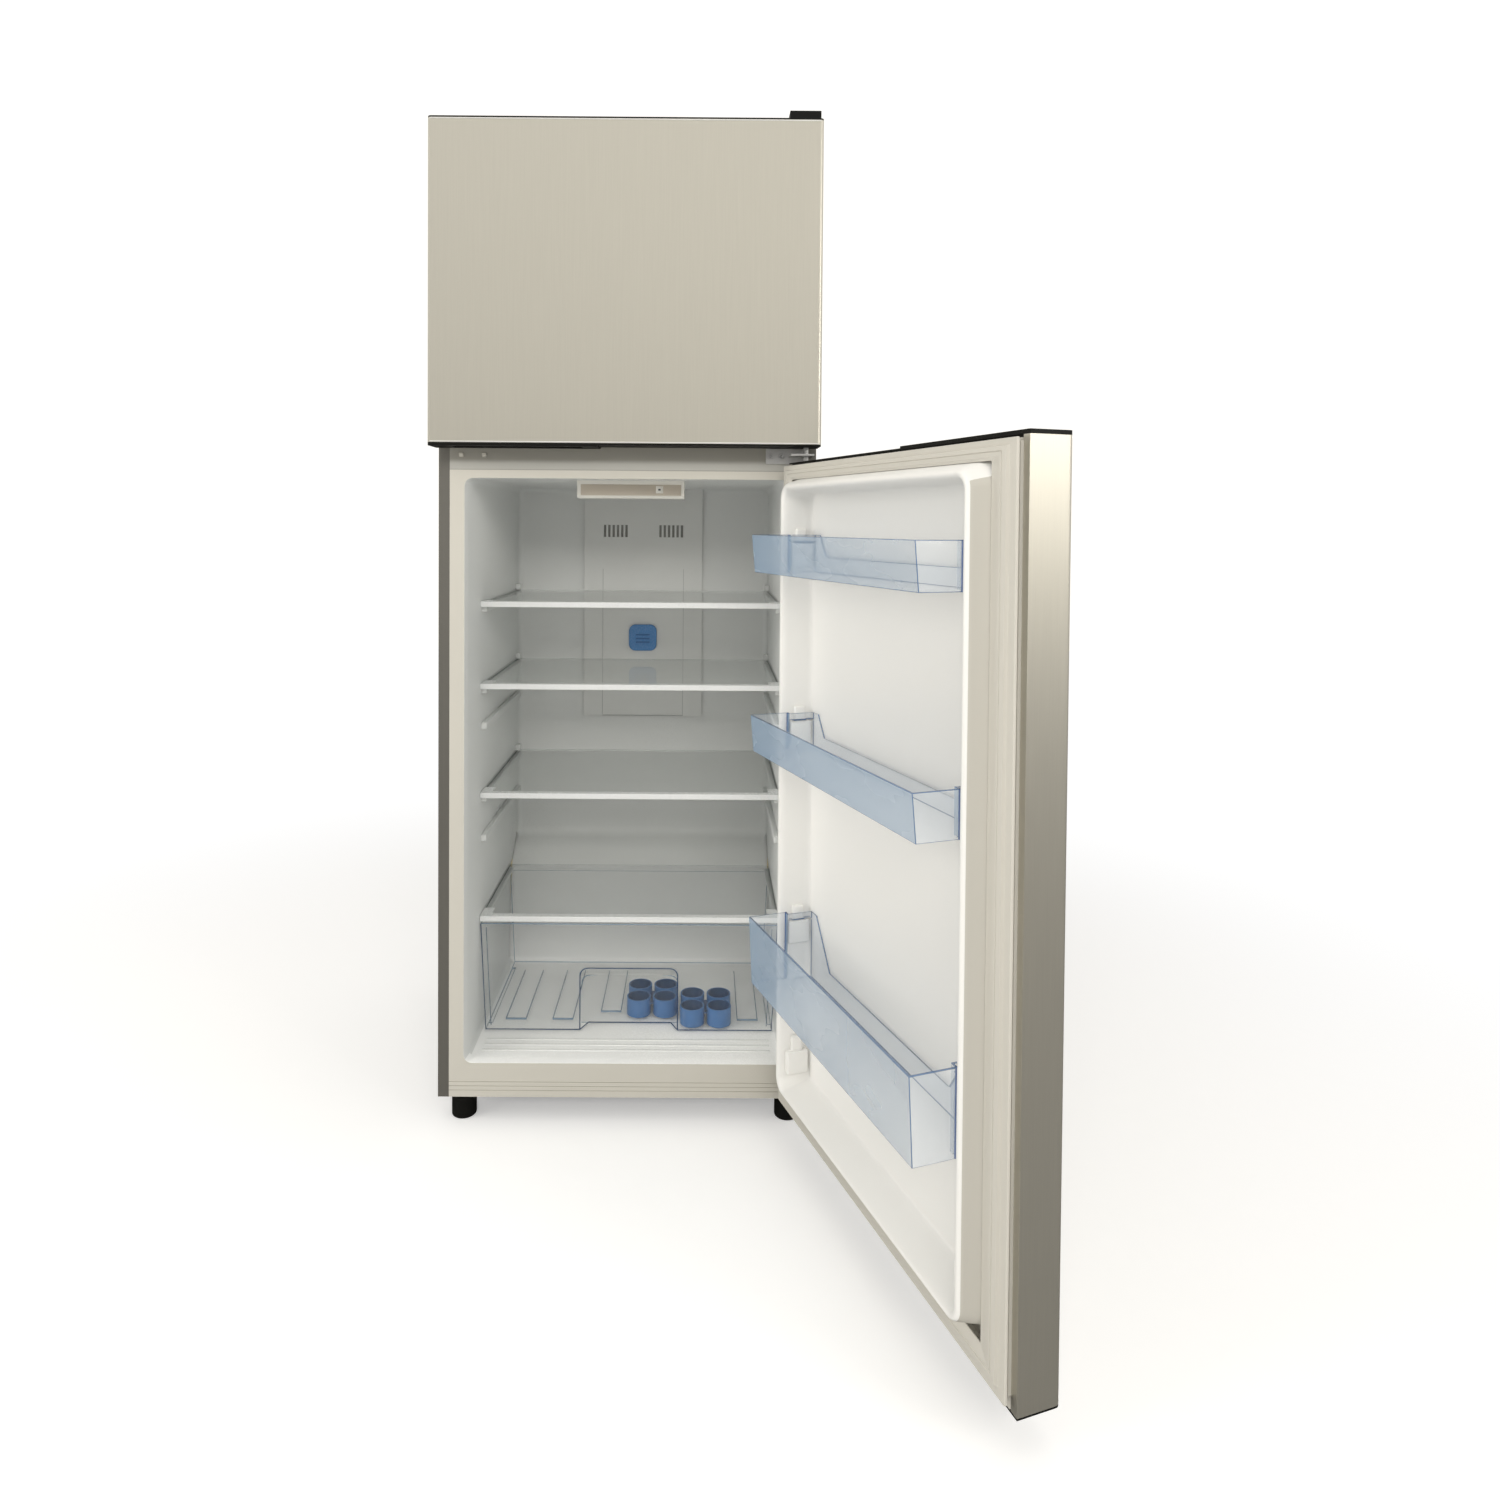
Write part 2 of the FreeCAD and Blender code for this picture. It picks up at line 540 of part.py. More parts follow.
# Base pan: the bottom plate, with a nut boss over each foot and cheeks that hold the rollers
FOOT_X = f"({HALF} - foot_inset)"
FOOT_Y = f"({FRONT} + foot_setback)"
ROLLER_Y = f"({BACK} - roller_setback)"
BOSS_HEIGHT = "(base_steel * 5)"
CHEEK = "(base_steel * 2)"
base_solids = [
    box("base_plate", both(f"{HALF} - steel"), (f"{FRONT} + kick_depth", BACK), (BOTTOM, BASE_TOP)),
]
base_holes = []
for side, sign in SIDES.items():
    spot = (f"{sign} * {FOOT_X}", FOOT_Y)
    boss_start = (*spot, f"{BOTTOM} - {BOSS_HEIGHT}")
    base_solids.append(cylinder(f"nut_boss_{side}", "z", "stud_radius * 2.2", boss_start, BOSS_HEIGHT))
    hole_start = (*spot, f"{BOTTOM} - 2 * {BOSS_HEIGHT}")
    base_holes.append(
        cylinder(f"nut_hole_{side}", "z", "stud_radius + pin_clearance", hole_start, f"4 * {BOSS_HEIGHT}")
    )
    inner = f"({FOOT_X} - roller_width / 2 - clearance)"
    outer = f"({FOOT_X} + roller_width / 2 + clearance)"
    for cheek, low, high in (("in", f"{inner} - {CHEEK}", inner), ("out", outer, f"{outer} + {CHEEK}")):
        base_solids.append(
            box(
                f"cheek_{cheek}_{side}",
                wall_span(sign, low, high),
                (f"{ROLLER_Y} - roller_radius / 2", f"{ROLLER_Y} + roller_radius / 2"),
                ("roller_radius / 2", f"{BOTTOM} + base_steel / 2"),
            )
        )
    axle_start = (wall_span(sign, f"{inner} - {CHEEK}", f"{outer} + {CHEEK}")[0], ROLLER_Y, "roller_radius")
    axle_length = f"roller_width + 2 * clearance + 2 * {CHEEK}"
    base_solids.append(cylinder(f"roller_axle_{side}", "x", "axle_radius", axle_start, axle_length))
piece("base_pan", carve("base_assembly", join("base_solids", *base_solids), *base_holes))

# Levelling feet: a moulded pad on a threaded stud
for side, sign in SIDES.items():
    spot = (f"{sign} * {FOOT_X}", FOOT_Y)
    pad_height = f"({BOTTOM} - {BOSS_HEIGHT} - 2 * clearance)"
    pad = cylinder(f"foot_pad_{side}", "z", "foot_radius", (*spot, "0"), pad_height)
    stud = cylinder(f"foot_stud_{side}", "z", "stud_radius", (*spot, "0"), f"{BASE_TOP} - clearance")
    piece(f"foot_{side}", join(f"foot_solid_{side}", pad, stud))

# Rear rollers: two wheels on fixed axles, in line with each other
wheels = []
for side, sign in SIDES.items():
    low = wall_span(sign, f"{FOOT_X} - roller_width / 2", f"{FOOT_X} + roller_width / 2")[0]
    tread = cylinder(f"tread_{side}", "x", "roller_radius", (low, ROLLER_Y, "roller_radius"), "roller_width")
    bore_start = (f"{low} - clearance", ROLLER_Y, "roller_radius")
    bore = cylinder(
        f"roller_bore_{side}", "x", "axle_radius + pin_clearance", bore_start, "roller_width + 2 * clearance"
    )
    wheels.append(carve(f"wheel_{side}", tread, bore))
piece("rear_rollers", group("roller_pair", *wheels))

# Air duct panel on the fridge's back wall, with two groups of outlet slots
DUCT_FRONT = f"({CAVITY_BACK} - duct_thickness)"
DUCT_LOW = f"({CEILING} - duct_height)"
duct_plate = box("duct_plate", both("duct_width / 2"), (DUCT_FRONT, CAVITY_BACK), (DUCT_LOW, CEILING))
duct_relief = box(
    "duct_relief",
    both("duct_width * 0.343"),
    (f"{DUCT_FRONT} - clearance", f"{DUCT_FRONT} + duct_thickness / 8"),
    (f"{DUCT_LOW} + clearance", f"{CEILING} - duct_height * 0.35"),
)
SLOT_COUNT = 6
slots = []
for sign in SIDES.values():
    for index in range(SLOT_COUNT):
        middle = f"({sign} * duct_width * (0.144 + 0.182 * {index} / {SLOT_COUNT - 1}))"
        slots.append(
            box(
                f"duct_slot_{len(slots)}",
                (f"{middle} - duct_width / 100", f"{middle} + duct_width / 100"),
                (f"{DUCT_FRONT} - clearance", f"{CAVITY_BACK} - duct_thickness / 4"),
                (f"{CEILING} - duct_height * 0.213", f"{CEILING} - duct_height * 0.16"),
            )
        )
piece("air_duct_panel", carve("duct_moulding", duct_plate, duct_relief, *slots))

# Deodorizer cap: a rounded square cover in the middle of the duct panel
CAP_MIDDLE = f"({CEILING} - cap_below)"
piece(
    "deodorizer_cap",
    prism(
        "deodorizer_block",
        "XZ",
        [
            ("-cap_width / 2", f"{CAP_MIDDLE} - cap_tall / 2"),
            ("cap_width / 2", f"{CAP_MIDDLE} - cap_tall / 2"),
            ("cap_width / 2", f"{CAP_MIDDLE} + cap_tall / 2"),
            ("-cap_width / 2", f"{CAP_MIDDLE} + cap_tall / 2"),
        ],
        f"{DUCT_FRONT} + duct_thickness / 8 - cap_proud",
        f"{DUCT_FRONT} + duct_thickness / 8",
        [("cap_tall / 4", (0, 1, 2, 3))],
    ),
)

# Lamp and control box at the front of the ceiling, its lens, and the button that sets the cold
LAMP_FRONT = f"({FRONT} + lamp_front)"
LAMP_BACK = f"({FRONT} + lamp_front + lamp_depth)"
LAMP_LOW = f"({CEILING} - lamp_height)"
LENS_DEEP = "(lamp_height / 10)"
BUTTON_Z = f"({CEILING} - lamp_height / 2)"
BUTTON_LENGTH = "(button_radius * 2)"
lamp_block = prism(
    "lamp_block",
    "YZ",
    [
        (f"{LAMP_FRONT} + lamp_height / 6", LAMP_LOW),
        (LAMP_BACK, LAMP_LOW),
        (f"{LAMP_BACK} + lamp_height / 3", CEILING),
        (LAMP_FRONT, CEILING),
        (LAMP_FRONT, f"{LAMP_LOW} + lamp_height / 6"),
    ],
    "-lamp_width / 2",
    "lamp_width / 2",
)
LENS_Y = (f"{LAMP_FRONT} + lamp_depth / 4", f"{LAMP_BACK} - lamp_depth / 8")
LENS_X = both("lamp_width * 0.4")
lens_seat = box("lens_seat", LENS_X, LENS_Y, (f"{LAMP_LOW} - clearance", f"{LAMP_LOW} + {LENS_DEEP}"))
button_bore = cylinder(
    "button_bore",
    "y",
    "button_radius + pin_clearance",
    ("button_offset", f"{LAMP_FRONT} - clearance", BUTTON_Z),
    f"{BUTTON_LENGTH} + 2 * clearance",
)
piece("lamp_housing", carve("lamp_moulding", lamp_block, lens_seat, button_bore))
piece("lamp_lens", box("lens_plate", LENS_X, LENS_Y, (LAMP_LOW, f"{LAMP_LOW} + {LENS_DEEP}")))
piece(
    "temperature_button",
    cylinder(
        "button_bar",
        "y",
        "button_radius",
        ("button_offset", f"{LAMP_FRONT} - button_proud", BUTTON_Z),
        f"{BUTTON_LENGTH} + button_proud - button_travel",
    ),
)

# Glass shelves: a toughened pane with a moulded front bar whose ends clip over the glass
SHELF_HALF = f"({ROOM_HALF} - shelf_side)"
SHELF_FRONT = f"({FRONT} + shelf_front)"


def shelf(name, level, back):
    """One shelf: its pane and its front bar, with the top of the glass at a level."""
    pane = box(
        f"{name}_pane",
        both(f"{SHELF_HALF} - clearance"),
        (f"{SHELF_FRONT} + trim_depth / 3", back),
        (f"{level} - glass", level),
    )
    bar = box(
        f"{name}_bar",
        both(SHELF_HALF),
        (SHELF_FRONT, f"{SHELF_FRONT} + trim_depth"),
        (f"{level} + glass / 2 - trim_height", f"{level} + glass / 2"),
    )
    clips = [
        box(
            f"{name}_clip_{side}",
            wall_span(sign, f"{SHELF_HALF} - 2 * ledge_width", SHELF_HALF),
            (f"{SHELF_FRONT} + trim_depth / 2", f"{SHELF_FRONT} + 3 * trim_depth"),
            (level, f"{level} + glass / 2"),
        )
        for side, sign in SIDES.items()
    ]
    bar_block = join(f"{name}_bar_block", bar, *clips)
    piece(f"{name}_trim", carve(f"{name}_front_bar", bar_block, pane))
    piece(f"{name}_glass", pane)


shelf("upper_shelf", f"({FLOOR} + upper_shelf)", SHELF_BACK)
shelf("middle_shelf", f"({FLOOR} + middle_shelf)", SHELF_BACK)
shelf("lower_shelf", f"({FLOOR} + lower_shelf)", SHELF_BACK)
shelf("crisper_cover", f"({FLOOR} + cover_height)", COVER_BACK)

# Crisper drawer: a clear tapered tub with a grip recess in its front
DRAWER_LOW = f"({FLOOR} + lip_flare + drawer_foot)"
DRAWER_HIGH = f"({FLOOR} + lip_flare + drawer_foot + drawer_height)"
DRAWER_FRONT = f"({FRONT} + drawer_front)"
DRAWER_BACK = f"({COVER_BACK} - clearance)"
DRAWER_HALF = f"({SHELF_HALF} - clearance)"


def tub(name, low, high, shrink):
    """The drawer's tapered block, drawn in by a wall thickness."""
    side = [
        (f"-({DRAWER_HALF} - drawer_draft - {shrink})", low),
        (f"({DRAWER_HALF} - drawer_draft - {shrink})", low),
        (f"({DRAWER_HALF} - {shrink})", high),
        (f"-({DRAWER_HALF} - {shrink})", high),
    ]
    return prism(name, "XZ", side, f"{DRAWER_FRONT} + {shrink}", f"{DRAWER_BACK} - {shrink}")


SCOOP_TOP = f"({DRAWER_LOW} + scoop_height)"


def scoop(name, grow):
    """The grip recess, grown by a wall thickness."""
    half = f"(scoop_width / 2 + {grow})"
    return prism(
        name,
        "XZ",
        [
            (f"-{half}", f"{DRAWER_LOW} - drawer_wall"),
            (half, f"{DRAWER_LOW} - drawer_wall"),
            (half, f"{SCOOP_TOP} + {grow}"),
            (f"-{half}", f"{SCOOP_TOP} + {grow}"),
        ],
        f"{DRAWER_FRONT} - drawer_wall",
        f"{DRAWER_FRONT} + scoop_depth + {grow}",
        [("scoop_depth / 2", (2, 3))],
    )


drawer_block = tub("drawer_block", DRAWER_LOW, DRAWER_HIGH, "0")
drawer_inside = carve(
    "drawer_inside",
    tub("drawer_space", f"{DRAWER_LOW} + drawer_wall", f"{DRAWER_HIGH} + drawer_wall", "drawer_wall"),
    scoop("scoop_wall", "drawer_wall"),
)
drawer_walls = carve("drawer_walls", drawer_block, drawer_inside, scoop("scoop_hollow", "0"))
RUNNER_HALF = f"({DRAWER_HALF} - drawer_draft)"
runners = [
    box(
        f"drawer_runner_{side}",
        wall_span(sign, f"{RUNNER_HALF} - 3 * drawer_wall", RUNNER_HALF),
        (f"{DRAWER_FRONT} + scoop_depth", f"{DRAWER_BACK} - scoop_depth"),
        (f"{FLOOR} + lip_flare + clearance", f"{DRAWER_LOW} + drawer_wall / 2"),
    )
    for side, sign in SIDES.items()
]
piece("crisper_drawer", join("drawer_tub", drawer_walls, *runners))

# Egg holders: two moulded trays of open cups, one behind the grip recess and one beside it
# against the front of the drawer
EGG_FLOOR = f"({DRAWER_LOW} + drawer_wall + clearance)"
EGG_PLACES = [
    ("egg_pitch * 0.3", f"({DRAWER_FRONT} + scoop_depth + egg_pitch * 0.7)"),
    (
        "(scoop_width / 2 + drawer_wall + egg_gap + egg_cup / 2)",
        f"({DRAWER_FRONT} + drawer_wall + egg_gap + egg_cup / 2)",
    ),
]
trays = []
for tray, (first_x, first_y) in enumerate(EGG_PLACES):
    cups = []
    hollows = []
    for column in range(2):
        for rank in range(2):
            x = f"({first_x} + egg_pitch * {column})"
            y = f"({first_y} + egg_pitch * {rank})"
            tag = f"{tray}_{column}_{rank}"
            cups.append(cylinder(f"egg_cup_{tag}", "z", "egg_cup / 2", (x, y, EGG_FLOOR), "egg_cup_height"))
            inner_start = (x, y, f"{EGG_FLOOR} + drawer_wall")
            hollows.append(
                cylinder(f"egg_hollow_{tag}", "z", "egg_cup / 2 - drawer_wall", inner_start, "egg_cup_height")
            )
    web = box(
        f"egg_web_{tray}",
        (first_x, f"{first_x} + egg_pitch"),
        (first_y, f"{first_y} + egg_pitch"),
        (f"{EGG_FLOOR} + egg_cup_height / 2", f"{EGG_FLOOR} + egg_cup_height / 2 + drawer_wall"),
    )
    trays.append(carve(f"egg_tray_{tray}", join(f"egg_block_{tray}", web, *cups), *hollows))
piece("egg_tray", group("egg_trays", *trays))

# Doors: a folded steel skin, a moulded cap at each end, a foam core, a vacuum-formed lining
# with a ridge round a recessed panel, and a magnetic gasket
DOOR_LIP = "(return_width * 0.6)"
CREST = f"({DOOR_BACK} + dike_height)"
PANEL = f"({DOOR_BACK} + dike_height - recess_depth)"
FOOT_HALF = f"({HALF} - dike_inset)"
CREST_HALF = f"({FOOT_HALF} - dike_slope)"
MOUTH_HALF = f"({CREST_HALF} - dike_crest)"
PANEL_HALF = f"({MOUTH_HALF} - recess_draft)"
END_SLOPE = "(dike_slope / 2 + dike_crest * 0.6)"
GRIP_Y = f"(({DOOR_FRONT} + {DOOR_BACK}) / 2)"


def slab(name, low, high, inset, back):
    """A door-shaped block with rounded front corners, drawn in from the skin's outside."""
    corners = [
        (f"-({HALF} - {inset})", f"{DOOR_FRONT} + {inset}"),
        (f"({HALF} - {inset})", f"{DOOR_FRONT} + {inset}"),
        (f"({HALF} - {inset})", back),
        (f"-({HALF} - {inset})", back),
    ]
    return prism(name, "XY", corners, low, high, [(f"door_corner - {inset}", (0, 1))])


def door_skin(name, low, high):
    """The folded sheet: front, two sides and a narrow lip at the back."""
    outer = slab(f"{name}_skin_block", low, high, "0", DOOR_BACK)
    inner = slab(f"{name}_skin_space", f"{low} - steel", f"{high} + steel", "steel", f"{DOOR_BACK} - steel")
    mouth = box(
        f"{name}_skin_mouth",
        both(f"{HALF} - {DOOR_LIP}"),
        (f"{DOOR_BACK} - 2 * steel", f"{DOOR_BACK} + steel"),
        (f"{low} - steel", f"{high} + steel"),
    )
    return carve(f"{name}_skin_sheet", outer, inner, mouth)


def door_cap(name, edge, inward, grip):
    """An end cap: inward is +1 for a bottom cap and -1 for a top cap; grip adds a finger pocket."""

    def level(*steps):
        ends = [f"({edge} + {inward} * ({step}))" for step in steps]
        return tuple(ends) if inward > 0 else tuple(reversed(ends))

    band = slab(f"{name}_band", *level("cap_step", "cap_band"), "0", DOOR_BACK)
    plug_levels = level("cap_band", "cap_band + cap_plug")
    plug = slab(f"{name}_plug", *plug_levels, "steel", f"{DOOR_BACK} - liner_wall")
    solids = [band, plug]
    hole_ends = level("cap_step - clearance", "cap_step + pin_depth + 2 * clearance")
    hole_start = (HINGE_X, HINGE_Y, hole_ends[0])
    hole_length = f"({hole_ends[1]}) - ({hole_ends[0]})"
    hollows = [cylinder(f"{name}_bush", "z", "hinge_pin + pin_clearance", hole_start, hole_length)]
    tool = None
    if grip:
        raised = slab(f"{name}_raised_block", *level("0", "cap_band"), "0", DOOR_BACK)
        hinge_half = box(
            f"{name}_hinge_half",
            ("-grip_start", f"{HALF} + steel"),
            (f"{DOOR_FRONT} - steel", f"{DOOR_BACK} + steel"),
            level("-cap_band", "2 * cap_band"),
        )
        solids.append(carve(f"{name}_raised", raised, hinge_half))
        middle = "(-grip_start - grip_width / 2 - grip_wide)"
        tool = box(
            f"{name}_pocket_tub",
            (f"{middle} - grip_width / 2 - grip_wall", f"{middle} + grip_width / 2 + grip_wall"),
            (f"{GRIP_Y} - grip_wide / 2 - grip_wall", f"{GRIP_Y} + grip_wide / 2 + grip_wall"),
            level("cap_band", "grip_depth + grip_wall"),
        )
        solids.append(tool)
        hollows.append(
            box(
                f"{name}_pocket",
                (f"{middle} - grip_width / 2", f"{middle} + grip_width / 2"),
                (f"{GRIP_Y} - grip_wide / 2", f"{GRIP_Y} + grip_wide / 2"),
                level("-cap_band", "grip_depth"),
            )
        )
    return carve(f"{name}_moulding", join(f"{name}_block", *solids), *hollows), tool


def ring(name, low, high, insets, y):
    """A rectangular frame between two distances in from the door's edges."""
    outer, inner = insets
    frame = box(
        f"{name}_outer", both(f"{HALF} - ({outer})"), y, (f"{low} + ({outer})", f"{high} - ({outer})")
    )
    window = box(
        f"{name}_inner",
        both(f"{HALF} - ({inner})"),
        (f"{y[0]} - steel", f"{y[1]} + steel"),
        (f"{low} + ({inner})", f"{high} - ({inner})"),
    )
    return carve(name, frame, window)


def door_seal(name, low, high):
    """The gasket: a base bead, a narrow bellows, a magnetic face and a lower outer lip."""
    lip = ("seal_edge", "seal_edge + seal_width / 2")
    face = ("seal_edge + seal_width * 0.4", "seal_edge + seal_width")
    waist = ("seal_edge + seal_width * 0.3", "seal_edge + seal_width * 0.75")
    base = ("seal_edge + seal_width * 0.15", "seal_edge + seal_width * 0.85")
    seat = f"({DOOR_BACK} + door_gap / 4)"
    fold = f"({DOOR_BACK} + door_gap / 2)"
    solids = [
        ring(f"{name}_seal_base", low, high, base, (DOOR_BACK, seat)),
        ring(f"{name}_seal_waist", low, high, waist, (DOOR_BACK, fold)),
        ring(f"{name}_seal_lip", low, high, lip, (fold, f"{FRONT} - door_gap / 4")),
        ring(f"{name}_seal_face", low, high, face, (fold, f"{FRONT} - seal_gap")),
    ]
    return join(f"{name}_seal_moulding", *solids)


def lining(name, low, high, ends, low_draft, grip_tub, bins):
    """The foam core and the lining of a door; bins are the seats of the bin lugs."""
    foot = (f"({low} + {ends[0]})", f"({high} - {ends[1]})")
    crest = (f"({foot[0]} + dike_slope / 2)", f"({foot[1]} - dike_slope / 2)")
    mouth = (f"({foot[0]} + {END_SLOPE})", f"({foot[1]} - {END_SLOPE})")
    panel = (f"({mouth[0]} + {low_draft})", f"({mouth[1]} - recess_draft)")

    def ridge(tag, shrink):
        return taper(
            f"{name}_{tag}",
            (f"{DOOR_BACK} - {shrink}", f"{CREST} - {shrink}"),
            both(f"{FOOT_HALF} - {shrink}"),
            (f"{foot[0]} + {shrink}", f"{foot[1]} - {shrink}"),
            both(f"{CREST_HALF} - {shrink}"),
            (f"{crest[0]} + {shrink}", f"{crest[1]} - {shrink}"),
        )

    def recess(tag, grow):
        return taper(
            f"{name}_{tag}",
            (f"{PANEL} - {grow}", CREST),
            both(f"{PANEL_HALF} + {grow}"),
            (f"{panel[0]} - {grow}", f"{panel[1]} + {grow}"),
            both(f"{MOUTH_HALF} + {grow}"),
            (f"{mouth[0]} - {grow}", f"{mouth[1]} + {grow}"),
        )

    fill = slab(
        f"{name}_fill",
        f"{low} + cap_band + cap_plug",
        f"{high} - cap_band - cap_plug",
        "steel",
        f"{DOOR_BACK} - liner_wall",
    )
    grown = recess("recess_outside", "liner_wall")
    core_block = join(f"{name}_core_block", fill, ridge("core_ridge", "liner_wall"))
    foam = carve(f"{name}_core", core_block, grown, grip_tub)
    plate = box(
        f"{name}_lining_plate",
        both(f"{HALF} - {DOOR_LIP}"),
        (f"{DOOR_BACK} - liner_wall", DOOR_BACK),
        (f"{low} + cap_band", f"{high} - cap_band"),
    )
    sheet_block = join(f"{name}_lining_block", plate, ridge("ridge", "0"), grown)
    skin = carve(f"{name}_lining_sheet", sheet_block, recess("recess", "0"), foam)
    lugs = []
    for index, seat in enumerate(bins):
        for side, sign in SIDES.items():
            lugs += lug(f"{name}_lug_{index}_{side}", sign, seat)
    return foam, join(f"{name}_lining", skin, *lugs)


LUG_FAR = f"({PANEL} + lug_back + lug_width)"
LUG_MIDDLE = f"({PANEL} + lug_back + lug_width / 2)"


def lug(name, sign, seat):
    """A moulded bin seat on the recess wall, with a narrower knob on top."""

    def block(tag, depth, half_wide, z):
        near = f"({LUG_MIDDLE} - {half_wide})"
        far = f"({LUG_MIDDLE} + {half_wide})"
        root = f"{PANEL_HALF} + liner_wall / 2 + recess_draft / recess_depth"
        x_near = wall_span(sign, f"{PANEL_HALF} - {depth}", f"{root} * ({near} - {PANEL})")
        x_far = wall_span(sign, f"{PANEL_HALF} - {depth}", f"{root} * ({far} - {PANEL})")
        return taper(f"{name}_{tag}", (near, far), x_near, z, x_far, z)

    return [
        block("seat", "lug_depth", "lug_width / 2", (f"{seat} - lug_height", seat)),
        block("knob", "lug_depth * 0.6", "knob_width / 2", (f"{seat} - clearance", f"{seat} + knob_height")),
    ]


# Door bins: clear trays that drop over the lugs; the back wall is low between two gussets
BIN_HALF = f"({PANEL_HALF} - bin_gap)"
BIN_BACK = f"({PANEL} + clearance * 2)"
BIN_FRONT = f"({BIN_BACK} + bin_depth)"
NOTCH_HALF = f"({PANEL_HALF} - lug_depth - 2 * clearance)"
NOTCH_FRONT = f"({LUG_FAR} + 2 * clearance)"
BIN_SEAT_DROP = "(knob_height - lug_depth)"


def door_bin(name, low, tall):
    """One bin, with its bottom at a level."""
    high = f"({low} + {tall})"
    seat = f"({high} - {BIN_SEAT_DROP})"

    def block(tag, shrink, top):
        corners = [
            (f"{BIN_BACK} + {shrink}", f"{low} + {shrink}"),
            (f"{BIN_FRONT} - bin_lean - {shrink}", f"{low} + {shrink}"),
            (f"{BIN_FRONT} - {shrink}", top),
            (f"{BIN_BACK} + {shrink}", top),
        ]
        half = f"({BIN_HALF} - {shrink})"
        return prism(f"{name}_{tag}", "YZ", corners, f"-{half}", half)

    def notches(tag, grow):
        return [
            box(
                f"{name}_{tag}_{side}",
                wall_span(sign, f"{NOTCH_HALF} - {grow}", f"{BIN_HALF} + bin_wall"),
                (f"{BIN_BACK} - bin_wall", f"{NOTCH_FRONT} + {grow}"),
                (f"{low} - bin_wall", f"{high} + 2 * bin_wall"),
            )
            for side, sign in SIDES.items()
        ]

    fill = block("fill", "bin_wall", f"{high} + bin_wall")
    space = carve(f"{name}_space", fill, *notches("wall", "bin_wall"))
    gusset_top = f"({NOTCH_HALF} - bin_depth / 5)"
    back_low = f"({low} + bin_depth / 8 + {tall} / 5)"
    gusset_low = f"({gusset_top} - ({high} - {back_low}) * 0.68)"
    back_cut = prism(
        f"{name}_back_cut",
        "XZ",
        [
            (f"-{gusset_low}", back_low),
            (gusset_low, back_low),
            (gusset_top, high),
            (gusset_top, f"{high} + bin_wall"),
            (f"-{gusset_top}", f"{high} + bin_wall"),
            (f"-{gusset_top}", high),
        ],
        f"{BIN_BACK} - bin_wall",
        f"{BIN_BACK} + 2 * bin_wall",
    )
    walls = carve(f"{name}_walls", block("block", "0", high), space, back_cut, *notches("notch", "0"))
    webs = []
    for side, sign in SIDES.items():
        web = box(
            f"{name}_web_{side}",
            wall_span(sign, f"{NOTCH_HALF} - bin_wall / 2", BIN_HALF),
            (BIN_BACK, f"{NOTCH_FRONT} + bin_wall / 2"),
            (f"{seat} + clearance", f"{seat} + clearance + bin_wall"),
        )
        slot = box(
            f"{name}_slot_{side}",
            wall_span(sign, f"{PANEL_HALF} - lug_depth * 0.6 - 2 * clearance", f"{BIN_HALF} + bin_wall"),
            around(LUG_MIDDLE, "knob_width / 2 + 2 * clearance"),
            (f"{seat} - bin_wall", f"{seat} + 2 * bin_wall"),
        )
        webs.append(carve(f"{name}_seat_{side}", web, slot))
    return join(f"{name}_tray", walls, *webs), seat


# The fridge door, standing open
FRIDGE_BINS = {
    "upper_bin": (f"({FRIDGE_TOP} - upper_bin_drop)", "upper_bin_height"),
    "middle_bin": (f"({FRIDGE_TOP} - middle_bin_drop)", "middle_bin_height"),
    "bottle_bin": (f"({FRIDGE_TOP} - bottle_bin_drop)", "bottle_bin_height"),
}
bin_seats = []
for name, (low, tall) in FRIDGE_BINS.items():
    tray, seat = door_bin(name, low, tall)
    hang(name, tray)
    bin_seats.append(seat)
SPARE_SEAT = f"({BOTTOM} + dike_low + 2 * lug_height)"
hang("fridge_door_skin", door_skin("fridge_door", f"{BOTTOM} + cap_band", f"{FRIDGE_TOP} - cap_band"))
fridge_cap, fridge_tub_wall = door_cap("fridge_top_cap", FRIDGE_TOP, -1, True)
hang("fridge_door_top_cap", fridge_cap)
hang("fridge_door_bottom_cap", door_cap("fridge_bottom_cap", BOTTOM, 1, False)[0])
fridge_core, fridge_lining = lining(
    "fridge_door",
    BOTTOM,
    FRIDGE_TOP,
    ("dike_low", "dike_ends"),
    "recess_draft * 2.5",
    fridge_tub_wall,
    bin_seats + [SPARE_SEAT],
)
hang("fridge_door_foam", fridge_core)
hang("fridge_door_liner", fridge_lining)
hang("fridge_door_gasket", door_seal("fridge_door", f"({BOTTOM} + seal_low)", FRIDGE_TOP))

# The freezer door, shut
FREEZER_BINS = {
    "freezer_upper_bin": f"({FREEZER_BOTTOM} + freezer_bin_high)",
    "freezer_lower_bin": f"({FREEZER_BOTTOM} + freezer_bin_low)",
}
bin_seats = []
for name, low in FREEZER_BINS.items():
    tray, seat = door_bin(name, low, "freezer_bin_height")
    piece(name, tray)
    bin_seats.append(seat)
piece("freezer_door_skin", door_skin("freezer_door", f"{FREEZER_BOTTOM} + cap_band", f"{TOP} - cap_band"))
piece("freezer_door_top_cap", door_cap("freezer_top_cap", TOP, -1, False)[0])
freezer_cap, freezer_tub_wall = door_cap("freezer_bottom_cap", FREEZER_BOTTOM, 1, True)
piece("freezer_door_bottom_cap", freezer_cap)
freezer_core, freezer_lining = lining(
    "freezer_door",
    FREEZER_BOTTOM,
    TOP,
    ("dike_ends", "(roof_thickness + seal_edge)"),
    "recess_draft",
    freezer_tub_wall,
    bin_seats,
)
piece("freezer_door_foam", freezer_core)
